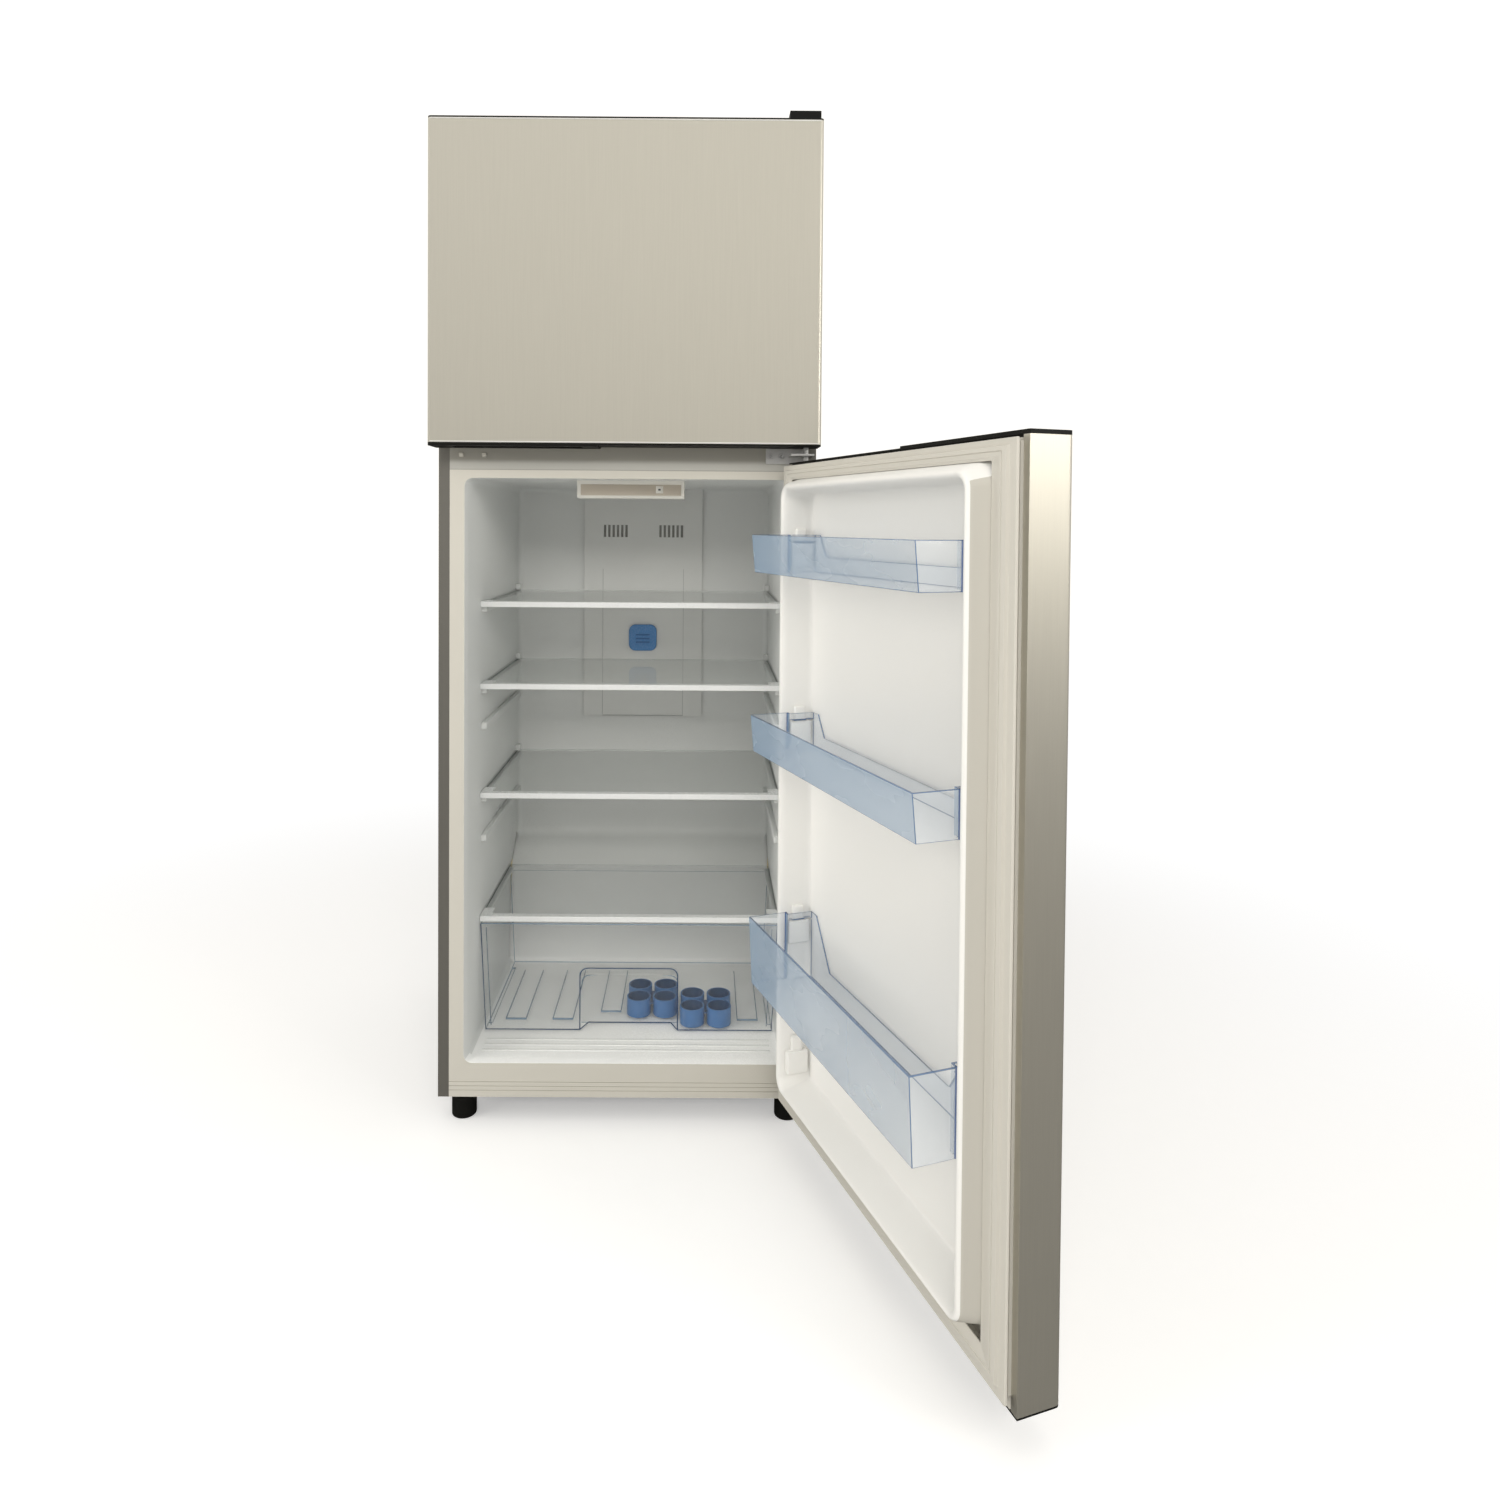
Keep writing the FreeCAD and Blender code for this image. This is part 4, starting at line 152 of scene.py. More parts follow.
# Back panel and base pan. Bare galvanised sheet, with the large dull flakes of the zinc.
# The back panel steps forward over the compressor space.
def zinc(name, colour, flakes=55.0):
    """Bare zinc or steel with so many flakes to the metre."""
    finish = new_finish(name, {"Metallic": 0.85})
    cells = finish.node("TexVoronoi", {}, {"Vector": place(finish), "Scale": flakes}, out="Color")
    tone = finish.node("SeparateColor", {}, {0: cells})
    fine = speckle(finish, 400.0)
    finish.feed("Base Color", blend(finish, tone, shade(colour, 0.86), shade(colour, 1.08)))
    finish.feed("Roughness", 0.36 + tone * 0.16 + fine * 0.06)
    relief(finish, fine, 0.00003)
    return finish


dress("back_panel", zinc("panel_zinc", (0.60, 0.62, 0.63)))
dress("base_pan", zinc("base_zinc", (0.52, 0.53, 0.55)))

# Cabinet insulation. Rigid cream foam blown into the casing; only its cut edges could ever be
# seen, and it is drawn a little smaller so that it stays behind the liners.
WELD = 1e-6
CORE_SHRINK = 0.005


def welded(node):
    """A copy of a CAD piece's mesh, and its bmesh with the doubled points joined."""
    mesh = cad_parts[node].data.copy()
    mesh.materials.clear()
    bm = bmesh.new()
    bm.from_mesh(mesh)
    bmesh.ops.remove_doubles(bm, verts=bm.verts, dist=WELD)
    return mesh, bm


def show(name, mesh, body, slot, finishes, *nodes):
    """Puts a new piece in the scene, on its body, in place of CAD nodes."""
    piece = bpy.data.objects.new(name, mesh)
    scene.collection.objects.link(piece)
    for finish in finishes:
        mesh.materials.append(finish.block)
    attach(piece, body)
    if nodes:
        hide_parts(*nodes)
    return piece


foam_finish = new_finish("cabinet_core", {"IOR": 1.4})
bubbles = speckle(foam_finish, 260.0, detail=5.0)
foam_finish.feed("Base Color", blend(foam_finish, bubbles, (0.62, 0.52, 0.30, 1), (0.80, 0.71, 0.46, 1)))
foam_finish.feed("Roughness", 0.8 + bubbles * 0.15)
relief(foam_finish, bubbles, 0.0006)
foam_mesh, shrunk = welded("cabinet_foam")
shrunk.normal_update()
for vert in shrunk.verts:
    vert.co -= vert.normal * CORE_SHRINK
shrunk.to_mesh(foam_mesh)
shrunk.free()
show("cabinet_core", foam_mesh, "cabinet", "foam", [foam_finish], "cabinet_foam")

# Liners. Vacuum-formed tubs of white polystyrene with rounded corners and a flange at the mouth.
# The fridge's has a step over the compressor; both have moulded ledges for the shelves.
FRONT = -0.2525
MOUTH_DEEP = FRONT + 0.012
ROOM_HALF, MOUTH_HALF, FLANGE_HALF = 0.254, 0.259, 0.2825
BEND = 0.013
FLOOR, CEILING, BACK_WALL = 0.103, 1.039, 0.1955
FRIDGE_MOUTH, FRIDGE_FLANGE = (0.098, CEILING), (0.0705, 1.0525)
STEP_Y, STEP_LOW, STEP_HIGH = 0.1125, 0.296, 0.334
FREEZER_LOW, FREEZER_HIGH, FREEZER_FLARE = 1.118, 1.540, 0.005
FREEZER_MOUTH = (FREEZER_LOW - FREEZER_FLARE, FREEZER_HIGH + FREEZER_FLARE)
FREEZER_FLANGE = (1.0995, 1.5675)
AT_EDGE, NEAR_CORNER = 0.999, 0.94
LEDGE_NEAR, LEDGE_FAR, LEDGE_FRONT, LEDGE_BACK, LEDGE_ROUND = 0.245, 0.2545, -0.149, 0.1815, 0.002
LEDGE_THICK = {0.8285: 0.012, 0.6895: 0.012, 0.628: 0.012, 0.5045: 0.012, 0.436: 0.012, 0.2945: 0.006}
COVER_LEDGE, COVER_LEDGE_BACK = 0.2945, 0.1065
STOP_LEVELS, STOP_FRONT, STOP_TALL = (0.8335, 0.6945, 0.5095), 0.1635, 0.012
FLOOR_BEADS, BEAD_HALF, BEAD_WIDE = (-0.221, -0.204, -0.187), 0.236, 0.003
BEAD_LOW, BEAD_HIGH, BEAD_ROUND = 0.1015, 0.1043, 0.0012
FREEZER_LEDGE_THICK, FREEZER_LEDGE_BACK = 0.012, 0.1015
BRIGHT_FLOOR, BRIGHT_WALL_FRONT, BRIGHT_WALL_TOP = 0.106, 0.1, 0.30


def as_mesh(name, bm, smooth=40.0):
    """A mesh from a bmesh, smooth except at sharp folds."""
    mesh = bpy.data.meshes.new(name)
    bm.to_mesh(mesh)
    bm.free()
    mesh.shade_smooth()
    mesh.set_sharp_from_angle(angle=math.radians(smooth))
    return mesh


def pillow_box(bm, low, high, radius, segments=3):
    """Adds a block with rounded edges to a bmesh."""
    made = bmesh.ops.create_cube(bm, size=1.0)["verts"]
    for vert in made:
        vert.co = Vector([low[i] + (vert.co[i] + 0.5) * (high[i] - low[i]) for i in range(3)])
    edges = list({edge for vert in made for edge in vert.link_edges})
    bmesh.ops.bevel(bm, geom=edges, offset=radius, segments=segments, profile=0.5, affect="EDGES")


def either_side(near, far):
    """The spans in x between two distances from the middle, to the left and to the right."""
    return (-far, -near), (near, far)


def on_step(vert):
    """Whether a point is on the front edge of the step, which stays sharp."""
    return abs(vert.co.y - STEP_Y) < WELD and abs(vert.co.z - STEP_LOW) < WELD


def tub(side, mouth, flange):
    """A liner: its side outline is extruded, its folds are rounded and its mouth is drawn out to a flange."""
    bm = bmesh.new()
    left, right = [[bm.verts.new((x, y, z)) for y, z in side] for x in (-ROOM_HALF, ROOM_HALF)]
    for index in range(len(side) - 1):
        bm.faces.new((left[index], left[index + 1], right[index + 1], right[index]))
    bm.faces.new(left[::-1])
    bm.faces.new(right)
    folds = [edge for edge in bm.edges if not edge.is_boundary and not all(map(on_step, edge.verts))]
    bmesh.ops.bevel(bm, geom=folds, offset=BEND, segments=5, profile=0.5, affect="EDGES")

    def pulled():
        """The new points of a band drawn out of the open edge."""
        made = bmesh.ops.extrude_edge_only(bm, edges=[edge for edge in bm.edges if edge.is_boundary])["geom"]
        return [item for item in made if isinstance(item, bmesh.types.BMVert)]

    low, high = side[0][1], side[-1][1]
    for vert in pulled():
        along = mouth[0] + (vert.co.z - low) / (high - low) * (mouth[1] - mouth[0])
        vert.co = Vector((vert.co.x / ROOM_HALF * MOUTH_HALF, FRONT, along))
    middle, half_tall = (mouth[0] + mouth[1]) / 2, (mouth[1] - mouth[0]) / 2
    for vert in pulled():
        out, tall = abs(vert.co.x) / MOUTH_HALF, abs(vert.co.z - middle) / half_tall
        at_corner = min(out, tall) > NEAR_CORNER
        if out > AT_EDGE or at_corner:
            vert.co.x = math.copysign(FLANGE_HALF, vert.co.x)
        if tall > AT_EDGE or at_corner:
            vert.co.z = flange[1] if vert.co.z > middle else flange[0]
    bmesh.ops.recalc_face_normals(bm, faces=bm.faces)
    for face in bm.faces:
        face.material_index = int(all(abs(vert.co.y - FRONT) < WELD for vert in face.verts))
    return bm


liner_finish = enamel("liner_white", (0.725, 0.74, 0.73), 0.30, cells=500.0, peel=0.00002, patch=0.015)
strip_finish = enamel("strip_cream", (0.60, 0.58, 0.52), 0.38, cells=600.0)
# A whiter copy of the liner's white: painted light for its floor and the back wall behind the drawer.
lit_liner_finish = enamel("liner_painted_light", (0.93, 0.94, 0.93), 0.26, cells=500.0, peel=0.00002, patch=0.015)
fridge_side = [
    (MOUTH_DEEP, FLOOR),
    (STEP_Y, FLOOR),
    (STEP_Y, STEP_LOW),
    (BACK_WALL, STEP_HIGH),
    (BACK_WALL, CEILING),
    (MOUTH_DEEP, CEILING),
]
liner = tub(fridge_side, FRIDGE_MOUTH, FRIDGE_FLANGE)
for left, right in either_side(LEDGE_NEAR, LEDGE_FAR):
    for level, thick in LEDGE_THICK.items():
        back = COVER_LEDGE_BACK if level == COVER_LEDGE else LEDGE_BACK
        pillow_box(liner, (left, LEDGE_FRONT, level - thick), (right, back, level), LEDGE_ROUND)
    for level in STOP_LEVELS:
        pillow_box(liner, (left, STOP_FRONT, level), (right, LEDGE_BACK, level + STOP_TALL), LEDGE_ROUND)
for y in FLOOR_BEADS:
    near, far = (-BEAD_HALF, y - BEAD_WIDE, BEAD_LOW), (BEAD_HALF, y + BEAD_WIDE, BEAD_HIGH)
    pillow_box(liner, near, far, BEAD_ROUND)
# Painted light: the floor faces and the back wall behind the drawer take the whiter copy of the liner.
liner.normal_update()
for face in liner.faces:
    at = face.calc_center_median()
    lowest = face.normal.z > 0.6 and at.z < BRIGHT_FLOOR
    behind_drawer = face.normal.y < -0.6 and at.y > BRIGHT_WALL_FRONT and at.z < BRIGHT_WALL_TOP
    if lowest or behind_drawer:
        face.material_index = 2
fridge_finishes = [liner_finish, strip_finish, lit_liner_finish]
show("fridge_tub", as_mesh("fridge_tub", liner), "cabinet", "liner", fridge_finishes, "fridge_liner")
freezer_side = [
    (MOUTH_DEEP, FREEZER_LOW),
    (BACK_WALL, FREEZER_LOW),
    (BACK_WALL, FREEZER_HIGH),
    (MOUTH_DEEP, FREEZER_HIGH),
]
liner = tub(freezer_side, FREEZER_MOUTH, FREEZER_FLANGE)
seat = (FREEZER_LOW + FREEZER_HIGH) / 2
for left, right in either_side(LEDGE_NEAR, LEDGE_FAR):
    low_corner = (left, LEDGE_FRONT, seat - FREEZER_LEDGE_THICK)
    pillow_box(liner, low_corner, (right, FREEZER_LEDGE_BACK, seat), LEDGE_ROUND)
show("freezer_tub", as_mesh("freezer_tub", liner), "cabinet", "liner", fridge_finishes[:2], "freezer_liner")

# Kick plate and divider rail. Two cream strips snapped on below and above the fridge mouth. The
# rail's upper half is darker with a painted shadow of the freezer door, and two plugs close unused
# screw holes at its left end.
RAIL_PALE, RAIL_DARK = 1.061, 1.070
SEAM_LOW, SEAM_HIGH, SEAM_PROUD = 1.0519, 1.0531, 0.0004
PLUG_X, PLUG_HALF, PLUG_LOW, PLUG_HIGH, PLUG_PROUD = (-0.264, -0.228), 0.004, 1.0718, 1.0788, 0.0012
TRIM_SUNK = 0.001
dress("kick_plate", strip_finish)
rail_finish = new_finish("rail_cream", {"IOR": 1.48})
rail_grain = speckle(rail_finish, 600.0)
height = rail_finish.node("SeparateXYZ", {}, {0: place(rail_finish)}, out="Z")
smooth_step = {"interpolation_type": "SMOOTHSTEP"}
rail_shade_inputs = {"Value": height, "From Min": RAIL_PALE, "From Max": RAIL_DARK}
rail_painted_shade = rail_finish.node("MapRange", smooth_step, rail_shade_inputs)
# Painted shadow of the freezer door: a darker cream from RAIL_PALE upwards, full at RAIL_DARK.
rail_finish.feed("Base Color", blend(rail_finish, rail_painted_shade, (0.47, 0.465, 0.43, 1), (0.30, 0.29, 0.255, 1)))
rail_finish.feed("Roughness", 0.32 + rail_grain * 0.12)
relief(rail_finish, rail_grain, 0.00004)
dress("divider_rail", rail_finish)
rail_seam = bmesh.new()
near, far = (-FLANGE_HALF, FRONT - SEAM_PROUD, SEAM_LOW), (FLANGE_HALF, FRONT + TRIM_SUNK, SEAM_HIGH)
pillow_box(rail_seam, near, far, radius=0.0002, segments=1)
seam_finish = enamel("seam_grey", (0.36, 0.355, 0.33), 0.5)
show("rail_seam", as_mesh("rail_seam", rail_seam), "cabinet", "cream_plastic", [seam_finish])
plugs = bmesh.new()
for x in PLUG_X:
    near, far = (x - PLUG_HALF, FRONT - PLUG_PROUD, PLUG_LOW), (x + PLUG_HALF, FRONT + TRIM_SUNK, PLUG_HIGH)
    pillow_box(plugs, near, far, radius=0.0022)
show("rail_plugs", as_mesh("rail_plugs", plugs), "cabinet", "cream_plastic", [strip_finish])

# Lamp and control box. A cream moulding under the ceiling with rounded edges, a beige facia let
# into its front, a frosted lens below, and the button that sets the cold, with a printed dot.
LAMP_FACE, FACIA_PROUD = -0.1805, 0.0006
FACIA_LEFT, FACIA_RIGHT, FACIA_LOW, FACIA_HIGH = -0.083, 0.084, 1.0145, 1.0328
BUTTON_X, BUTTON_Z, BUTTON_HOLE = 0.048, 1.0245, 0.006
FACIA_LAP = 0.0065
DOT_WIDE, DOT_TALL, DOT_FRONT, DOT_BACK = 0.002, 0.0015, -0.1828, -0.1820
THIN_WALL = 0.0026


def softened(node, body, slot, finishes, width, segments=3, thin=THIN_WALL, hidden=None, third=None):
    """The CAD piece with its edges rounded; a second finish goes on those and on faces as narrow as a wall.

    A clear wall is seen once, so the broad faces that hidden picks are left out. Those that third
    picks take the third finish.
    """
    mesh, bm = welded(node)
    bmesh.ops.dissolve_limit(bm, angle_limit=math.radians(1.0), verts=bm.verts, edges=bm.edges)
    centre = sum((vert.co for vert in bm.verts), Vector()) / len(bm.verts)
    broad = [face for face in bm.faces if 2.0 * face.calc_area() / face.calc_perimeter() >= thin]
    for face in bm.faces:
        face.material_index = 1 if len(finishes) > 1 and face not in broad else 0
    for face in broad if third else []:
        face.material_index = 2 if third(face) else 0
    if hidden:
        bmesh.ops.delete(bm, geom=[face for face in broad if hidden(face, centre)], context="FACES")
    bm.to_mesh(mesh)
    bm.free()
    piece = show(node + "_moulding", mesh, body, slot, finishes, node)
    round_off = piece.modifiers.new("edges", "BEVEL")
    round_off.width = width
    round_off.segments = segments
    round_off.limit_method = "ANGLE"
    round_off.angle_limit = math.radians(30.0)
    round_off.use_clamp_overlap = True
    if len(finishes) > 1:
        round_off.material = 1
    mesh.shade_smooth()
    mesh.set_sharp_from_angle(angle=math.radians(35.0))
    return piece


lamp_finish = enamel("lamp_cream", (0.78, 0.765, 0.71), 0.34, cells=600.0)
softened("lamp_housing", "cabinet", "cream_plastic", [lamp_finish], width=0.0022)
softened("temperature_button", "button", "cream_plastic", [lamp_finish], width=0.0008)
lens_finish = new_finish("lamp_frost", {"Transmission Weight": 0.35, "IOR": 1.49})
prisms = lens_finish.node("TexWave", {}, {"Vector": place(lens_finish), "Scale": 60.0})
lens_finish.feed("Base Color", blend(lens_finish, prisms, (0.86, 0.85, 0.78, 1), (0.95, 0.94, 0.89, 1)))
lens_finish.feed("Roughness", 0.35 + prisms * 0.2)
relief(lens_finish, prisms, 0.0004)
dress("lamp_lens", lens_finish)
facia = bmesh.new()
for left, right, low, high in (
    (FACIA_LEFT, BUTTON_X - BUTTON_HOLE, FACIA_LOW, FACIA_HIGH),
    (BUTTON_X + BUTTON_HOLE, FACIA_RIGHT, FACIA_LOW, FACIA_HIGH),
    (BUTTON_X - FACIA_LAP, BUTTON_X + FACIA_LAP, FACIA_LOW, BUTTON_Z - BUTTON_HOLE),
    (BUTTON_X - FACIA_LAP, BUTTON_X + FACIA_LAP, BUTTON_Z + BUTTON_HOLE, FACIA_HIGH),
):
    near, far = (left, LAMP_FACE - FACIA_PROUD, low), (right, LAMP_FACE + TRIM_SUNK, high)
    pillow_box(facia, near, far, radius=0.0005, segments=2)
facia_finish = enamel("facia_beige", (0.50, 0.445, 0.37), 0.36, cells=600.0)
show("lamp_facia", as_mesh("lamp_facia", facia), "cabinet", "cream_plastic", [facia_finish])
dot = bmesh.new()
dot_low = (BUTTON_X - DOT_WIDE, DOT_FRONT, BUTTON_Z - DOT_TALL)
dot_high = (BUTTON_X + DOT_WIDE, DOT_BACK, BUTTON_Z + DOT_TALL)
pillow_box(dot, dot_low, dot_high, radius=0.0003, segments=2)
dot_finish = enamel("dot_grey", (0.10, 0.10, 0.10), 0.4)
show("button_dot", as_mesh("button_dot", dot), "button", "cream_plastic", [dot_finish])

# Air duct panel. A white moulding on the back wall with two groups of outlet slots and a
# shallow sunk field, and the blue clip-in deodorizer cap in the middle of that field.
DUCT_FACE = 0.1875
SLOTS_NEAR, SLOTS_FAR, SLOTS_LOW, SLOTS_HIGH = 0.0320, 0.0800, 0.939, 0.967
SLOTS_FRONT, SLOTS_BACK = DUCT_FACE + 0.003, DUCT_FACE + 0.007
LINE_FRONT, LINE_BACK = DUCT_FACE + 0.0002, DUCT_FACE + 0.0016
FIELD_LINES = (
    ((-0.0826, 0.580), (-0.0812, 0.876)),
    ((0.0812, 0.580), (0.0826, 0.876)),
    ((-0.0826, 0.5775), (0.0826, 0.5787)),
)
CAP_SLOT_HALF, CAP_SLOT_FRONT, CAP_SLOT_BACK = 0.014, 0.1806, 0.1822
CAP_SLOT_LOW, CAP_SLOT_PITCH, CAP_SLOT_TALL = 0.7265, 0.0075, 0.003
duct_finish = enamel("duct_white", (0.71, 0.72, 0.705), 0.33, cells=520.0, patch=0.015)
dress("air_duct_panel", duct_finish)
# A dark grey sheet behind the outlet slots: painted shade for the dark inside of the duct.
behind = bmesh.new()
for left, right in either_side(SLOTS_NEAR, SLOTS_FAR):
    near, far = (left, SLOTS_FRONT, SLOTS_LOW), (right, SLOTS_BACK, SLOTS_HIGH)
    pillow_box(behind, near, far, radius=0.0005, segments=1)
duct_slot_shade_finish = enamel("duct_slot_painted_shade", (0.28, 0.28, 0.265), 0.6)
show("duct_slots_behind", as_mesh("duct_slots_behind", behind), "cabinet", "white_trim", [duct_slot_shade_finish])
# Thin grey strips along the edges of the sunk field: a painted shadow of its shallow step.
field_shadow_line = bmesh.new()
for (left, low), (right, high) in FIELD_LINES:
    near, far = (left, LINE_FRONT, low), (right, LINE_BACK, high)
    pillow_box(field_shadow_line, near, far, radius=0.0002, segments=1)
field_shadow_finish = enamel("duct_field_painted_shadow", (0.40, 0.41, 0.41), 0.5)
show("duct_field_seam", as_mesh("duct_field_seam", field_shadow_line), "cabinet", "white_trim", [field_shadow_finish])
cap_finish = enamel("cap_blue", (0.10, 0.26, 0.55), 0.28, cells=500.0)
softened("deodorizer_cap", "cabinet", "blue_cap", [cap_finish], width=0.0022)
# Darker blue bars on the cap's face mark its slots: painted shade for the dark openings.
grille = bmesh.new()
for row in range(3):
    low = CAP_SLOT_LOW + row * CAP_SLOT_PITCH
    near, far = (-CAP_SLOT_HALF, CAP_SLOT_FRONT, low), (CAP_SLOT_HALF, CAP_SLOT_BACK, low + CAP_SLOT_TALL)
    pillow_box(grille, near, far, radius=0.0006, segments=2)
cap_slot_shade_finish = enamel("cap_slot_painted_shade", (0.05, 0.15, 0.36), 0.45)
show("cap_slots", as_mesh("cap_slots", grille), "cabinet", "blue_cap", [cap_slot_shade_finish])

# Shelves. Toughened glass with ground edges that look dark green, in a white moulded front
# bar whose ends clip over the pane.
PANE_THIN = 0.0048


def glassy(name, tint, edge):
    """Clear glass, and its ground edge."""
    clear = new_finish(name, {"IOR": 1.5})
    smear = speckle(clear, 14.0)
    sheen = clear.node("Fresnel", {}, {"IOR": 1.5})
    clear.feed("Base Color", blend(clear, smear, shade(tint, 0.96), shade(tint, 1.04)))
    clear.feed("Roughness", 0.02 + smear * 0.03)
    clear.feed("Alpha", 0.06 + sheen * 0.70)
    ground = new_finish(name + "_edge", {"IOR": 1.5})
    wear = speckle(ground, 300.0)
    ground.feed("Base Color", blend(ground, wear, shade(edge, 0.8), shade(edge, 1.25)))
    ground.feed("Roughness", 0.25 + wear * 0.2)
    return [clear, ground]


def underside(face, centre):
    """Whether a face of a pane looks down."""
    return face.normal.z < -0.9


pane_finishes = glassy("shelf_glass", (0.80, 0.84, 0.82), (0.16, 0.19, 0.18))
bar_finish = enamel("bar_white", (0.82, 0.835, 0.835), 0.28, cells=500.0, patch=0.015)
for shelf in ("upper_shelf", "middle_shelf", "lower_shelf", "crisper_cover"):
    options = {"width": 0.0006, "segments": 2, "thin": PANE_THIN, "hidden": underside}
    pane = softened(shelf + "_glass", shelf, "glass", pane_finishes, **options)
    for face in pane.data.polygons:
        if face.normal.y > 0.9:
            face.material_index = 0
    softened(shelf + "_trim", shelf, "white_trim", [bar_finish], width=0.0016)

# Crisper drawer. A clear injection-moulded tub with ribs in its floor and a grip arch in its
# front, whose edges and folds gather a blue-grey tint.
RIB_STARTS = ((-0.197, -0.128), (-0.116, -0.128), (-0.035, -0.100), (0.203, -0.128))
RIB_OUT, RIB_IN, RIB_WIDE, RIB_BACK, RIB_LOW, RIB_HIGH = 0.018, 0.0166, 0.0014, 0.060, 0.1080, 0.1112
DRAWER_FACE, DRAWER_LOW, DRAWER_HIGH = -0.1598, 0.1068, 0.2872
DRAWER_HALF_LOW, DRAWER_HALF_HIGH = 0.2428, 0.2518
SCOOP_HALF, SCOOP_TOP, SCOOP_BACK, SCOOP_BEND = 0.083, 0.212, -0.1345, 0.013
SCOOP_SLOPE, SCOOP_TAPER, SCOOP_NEAR, SKIN_NEAR = 0.023, 0.012, 0.004, 0.003
BEND_STEPS = 4
FOLD_HIGH, FOLD_LOW = (0.2425, 0.281), (0.2340, 0.114)


def tinted(name, face, edge, alpha, edge_alpha, rim=0.4):
    """Clear plastic, and the deeper tint of its edges."""
    finishes = []
    for tag, colour, cover in (("", face, alpha), ("_edge", edge, edge_alpha)):
        finish = new_finish(name + tag, {"IOR": 1.52, "Coat Weight": 0.3, "Coat Roughness": 0.05})
        flow = speckle(finish, 9.0, (1, 1, 2.5), 2.0)
        slant = finish.node("LayerWeight", {}, {"Blend": 0.35}, out="Facing")
        finish.feed("Base Color", blend(finish, slant, shade(colour, 1.03), shade(colour, 0.80)))
        finish.feed("Roughness", 0.12 + flow * 0.08)
        finish.feed("Alpha", cover + slant * slant * rim * (1.0 - cover) + (flow - 0.5) * 0.05)
        finishes.append(finish)
    return finishes


def inner(face, centre):
    """Whether a face of a tub looks to its middle."""
    return (centre - face.calc_center_median()).dot(face.normal) > 0.003


def beads(name, lines, radius):
    """Thin beads along lines of points, as where a clear moulding folds."""
    curve = bpy.data.curves.new(name, "CURVE")
    curve.dimensions = "3D"
    curve.bevel_depth = radius
    curve.bevel_resolution = 1
    curve.use_fill_caps = True
    for line in lines:
        spline = curve.splines.new("POLY")
        spline.points.add(len(line) - 1)
        for point, at in zip(spline.points, line):
            point.co = (*at, 1.0)
    return curve


drawer_finish = tinted("drawer_clear", (0.84, 0.88, 0.89), (0.20, 0.32, 0.46), 0.07, 0.60, rim=0.12)
options = {"width": 0.0012, "segments": 2, "hidden": inner}
drawer = softened("crisper_drawer", "crisper", "clear_drawer", drawer_finish, **options)
ribs = bmesh.new()
for x, near in RIB_STARTS:
    for left, right, front, back in (
        (x - RIB_OUT, x - RIB_IN, near, RIB_BACK),
        (x + RIB_IN, x + RIB_OUT, near, RIB_BACK),
        (x - RIB_OUT, x + RIB_OUT, near - RIB_WIDE, near),
    ):
        pillow_box(ribs, (left, front, RIB_LOW), (right, back, RIB_HIGH), radius=0.0004, segments=2)
show("drawer_ribs", as_mesh("drawer_ribs", ribs), "crisper", "clear_drawer", drawer_finish[1:])
for vert in drawer.data.vertices:
    behind_arch = abs(vert.co.x) < SCOOP_HALF + SCOOP_NEAR and abs(vert.co.y - SCOOP_BACK) < SKIN_NEAR
    if behind_arch and vert.co.z > SCOOP_TOP - 1.2 * SCOOP_BEND:
        vert.co.z -= SCOOP_SLOPE
for face in drawer.data.polygons:
    at = face.center
    behind_face = DRAWER_FACE + SKIN_NEAR < at.y < SCOOP_BACK + SCOOP_NEAR
    under_arch = abs(at.x) < SCOOP_HALF + SCOOP_NEAR and at.z > SCOOP_TOP - 2 * SCOOP_BEND - SCOOP_SLOPE
    if behind_face and under_arch:
        face.material_index = 0
arch = [(-SCOOP_HALF, DRAWER_FACE, DRAWER_LOW)]
for start, x in ((180, SCOOP_BEND - SCOOP_HALF), (90, SCOOP_HALF - SCOOP_BEND)):
    for step in range(BEND_STEPS + 1):
        turn = math.radians(start - 90.0 * step / BEND_STEPS)
        z = SCOOP_TOP - SCOOP_BEND + SCOOP_BEND * math.sin(turn)
        arch.append((x + SCOOP_BEND * math.cos(turn), DRAWER_FACE, z))
arch.append((SCOOP_HALF, DRAWER_FACE, DRAWER_LOW))
outline = [(-DRAWER_HALF_HIGH, DRAWER_FACE, DRAWER_HIGH), (-DRAWER_HALF_LOW, DRAWER_FACE, DRAWER_LOW)]
outline += [arch[0], (SCOOP_TAPER - SCOOP_HALF, SCOOP_BACK, DRAWER_LOW)]
outline += [(-x, y, z) for x, y, z in reversed(outline)]
folds = [[(sign * x, DRAWER_FACE, z) for x, z in (FOLD_HIGH, FOLD_LOW)] for sign in (-1, 1)]
fold_finish = tinted("drawer_fold", (0.10, 0.16, 0.24), (0.030, 0.065, 0.15), 0.75, 0.92)
outline_beads = beads("drawer_outline", [outline, arch], radius=0.0010)
show("drawer_outline", outline_beads, "crisper", "clear_drawer", fold_finish[1:])
fold_beads = beads("drawer_folds", folds, radius=0.0007)
show("drawer_folds", fold_beads, "crisper", "clear_drawer", fold_finish[:1])

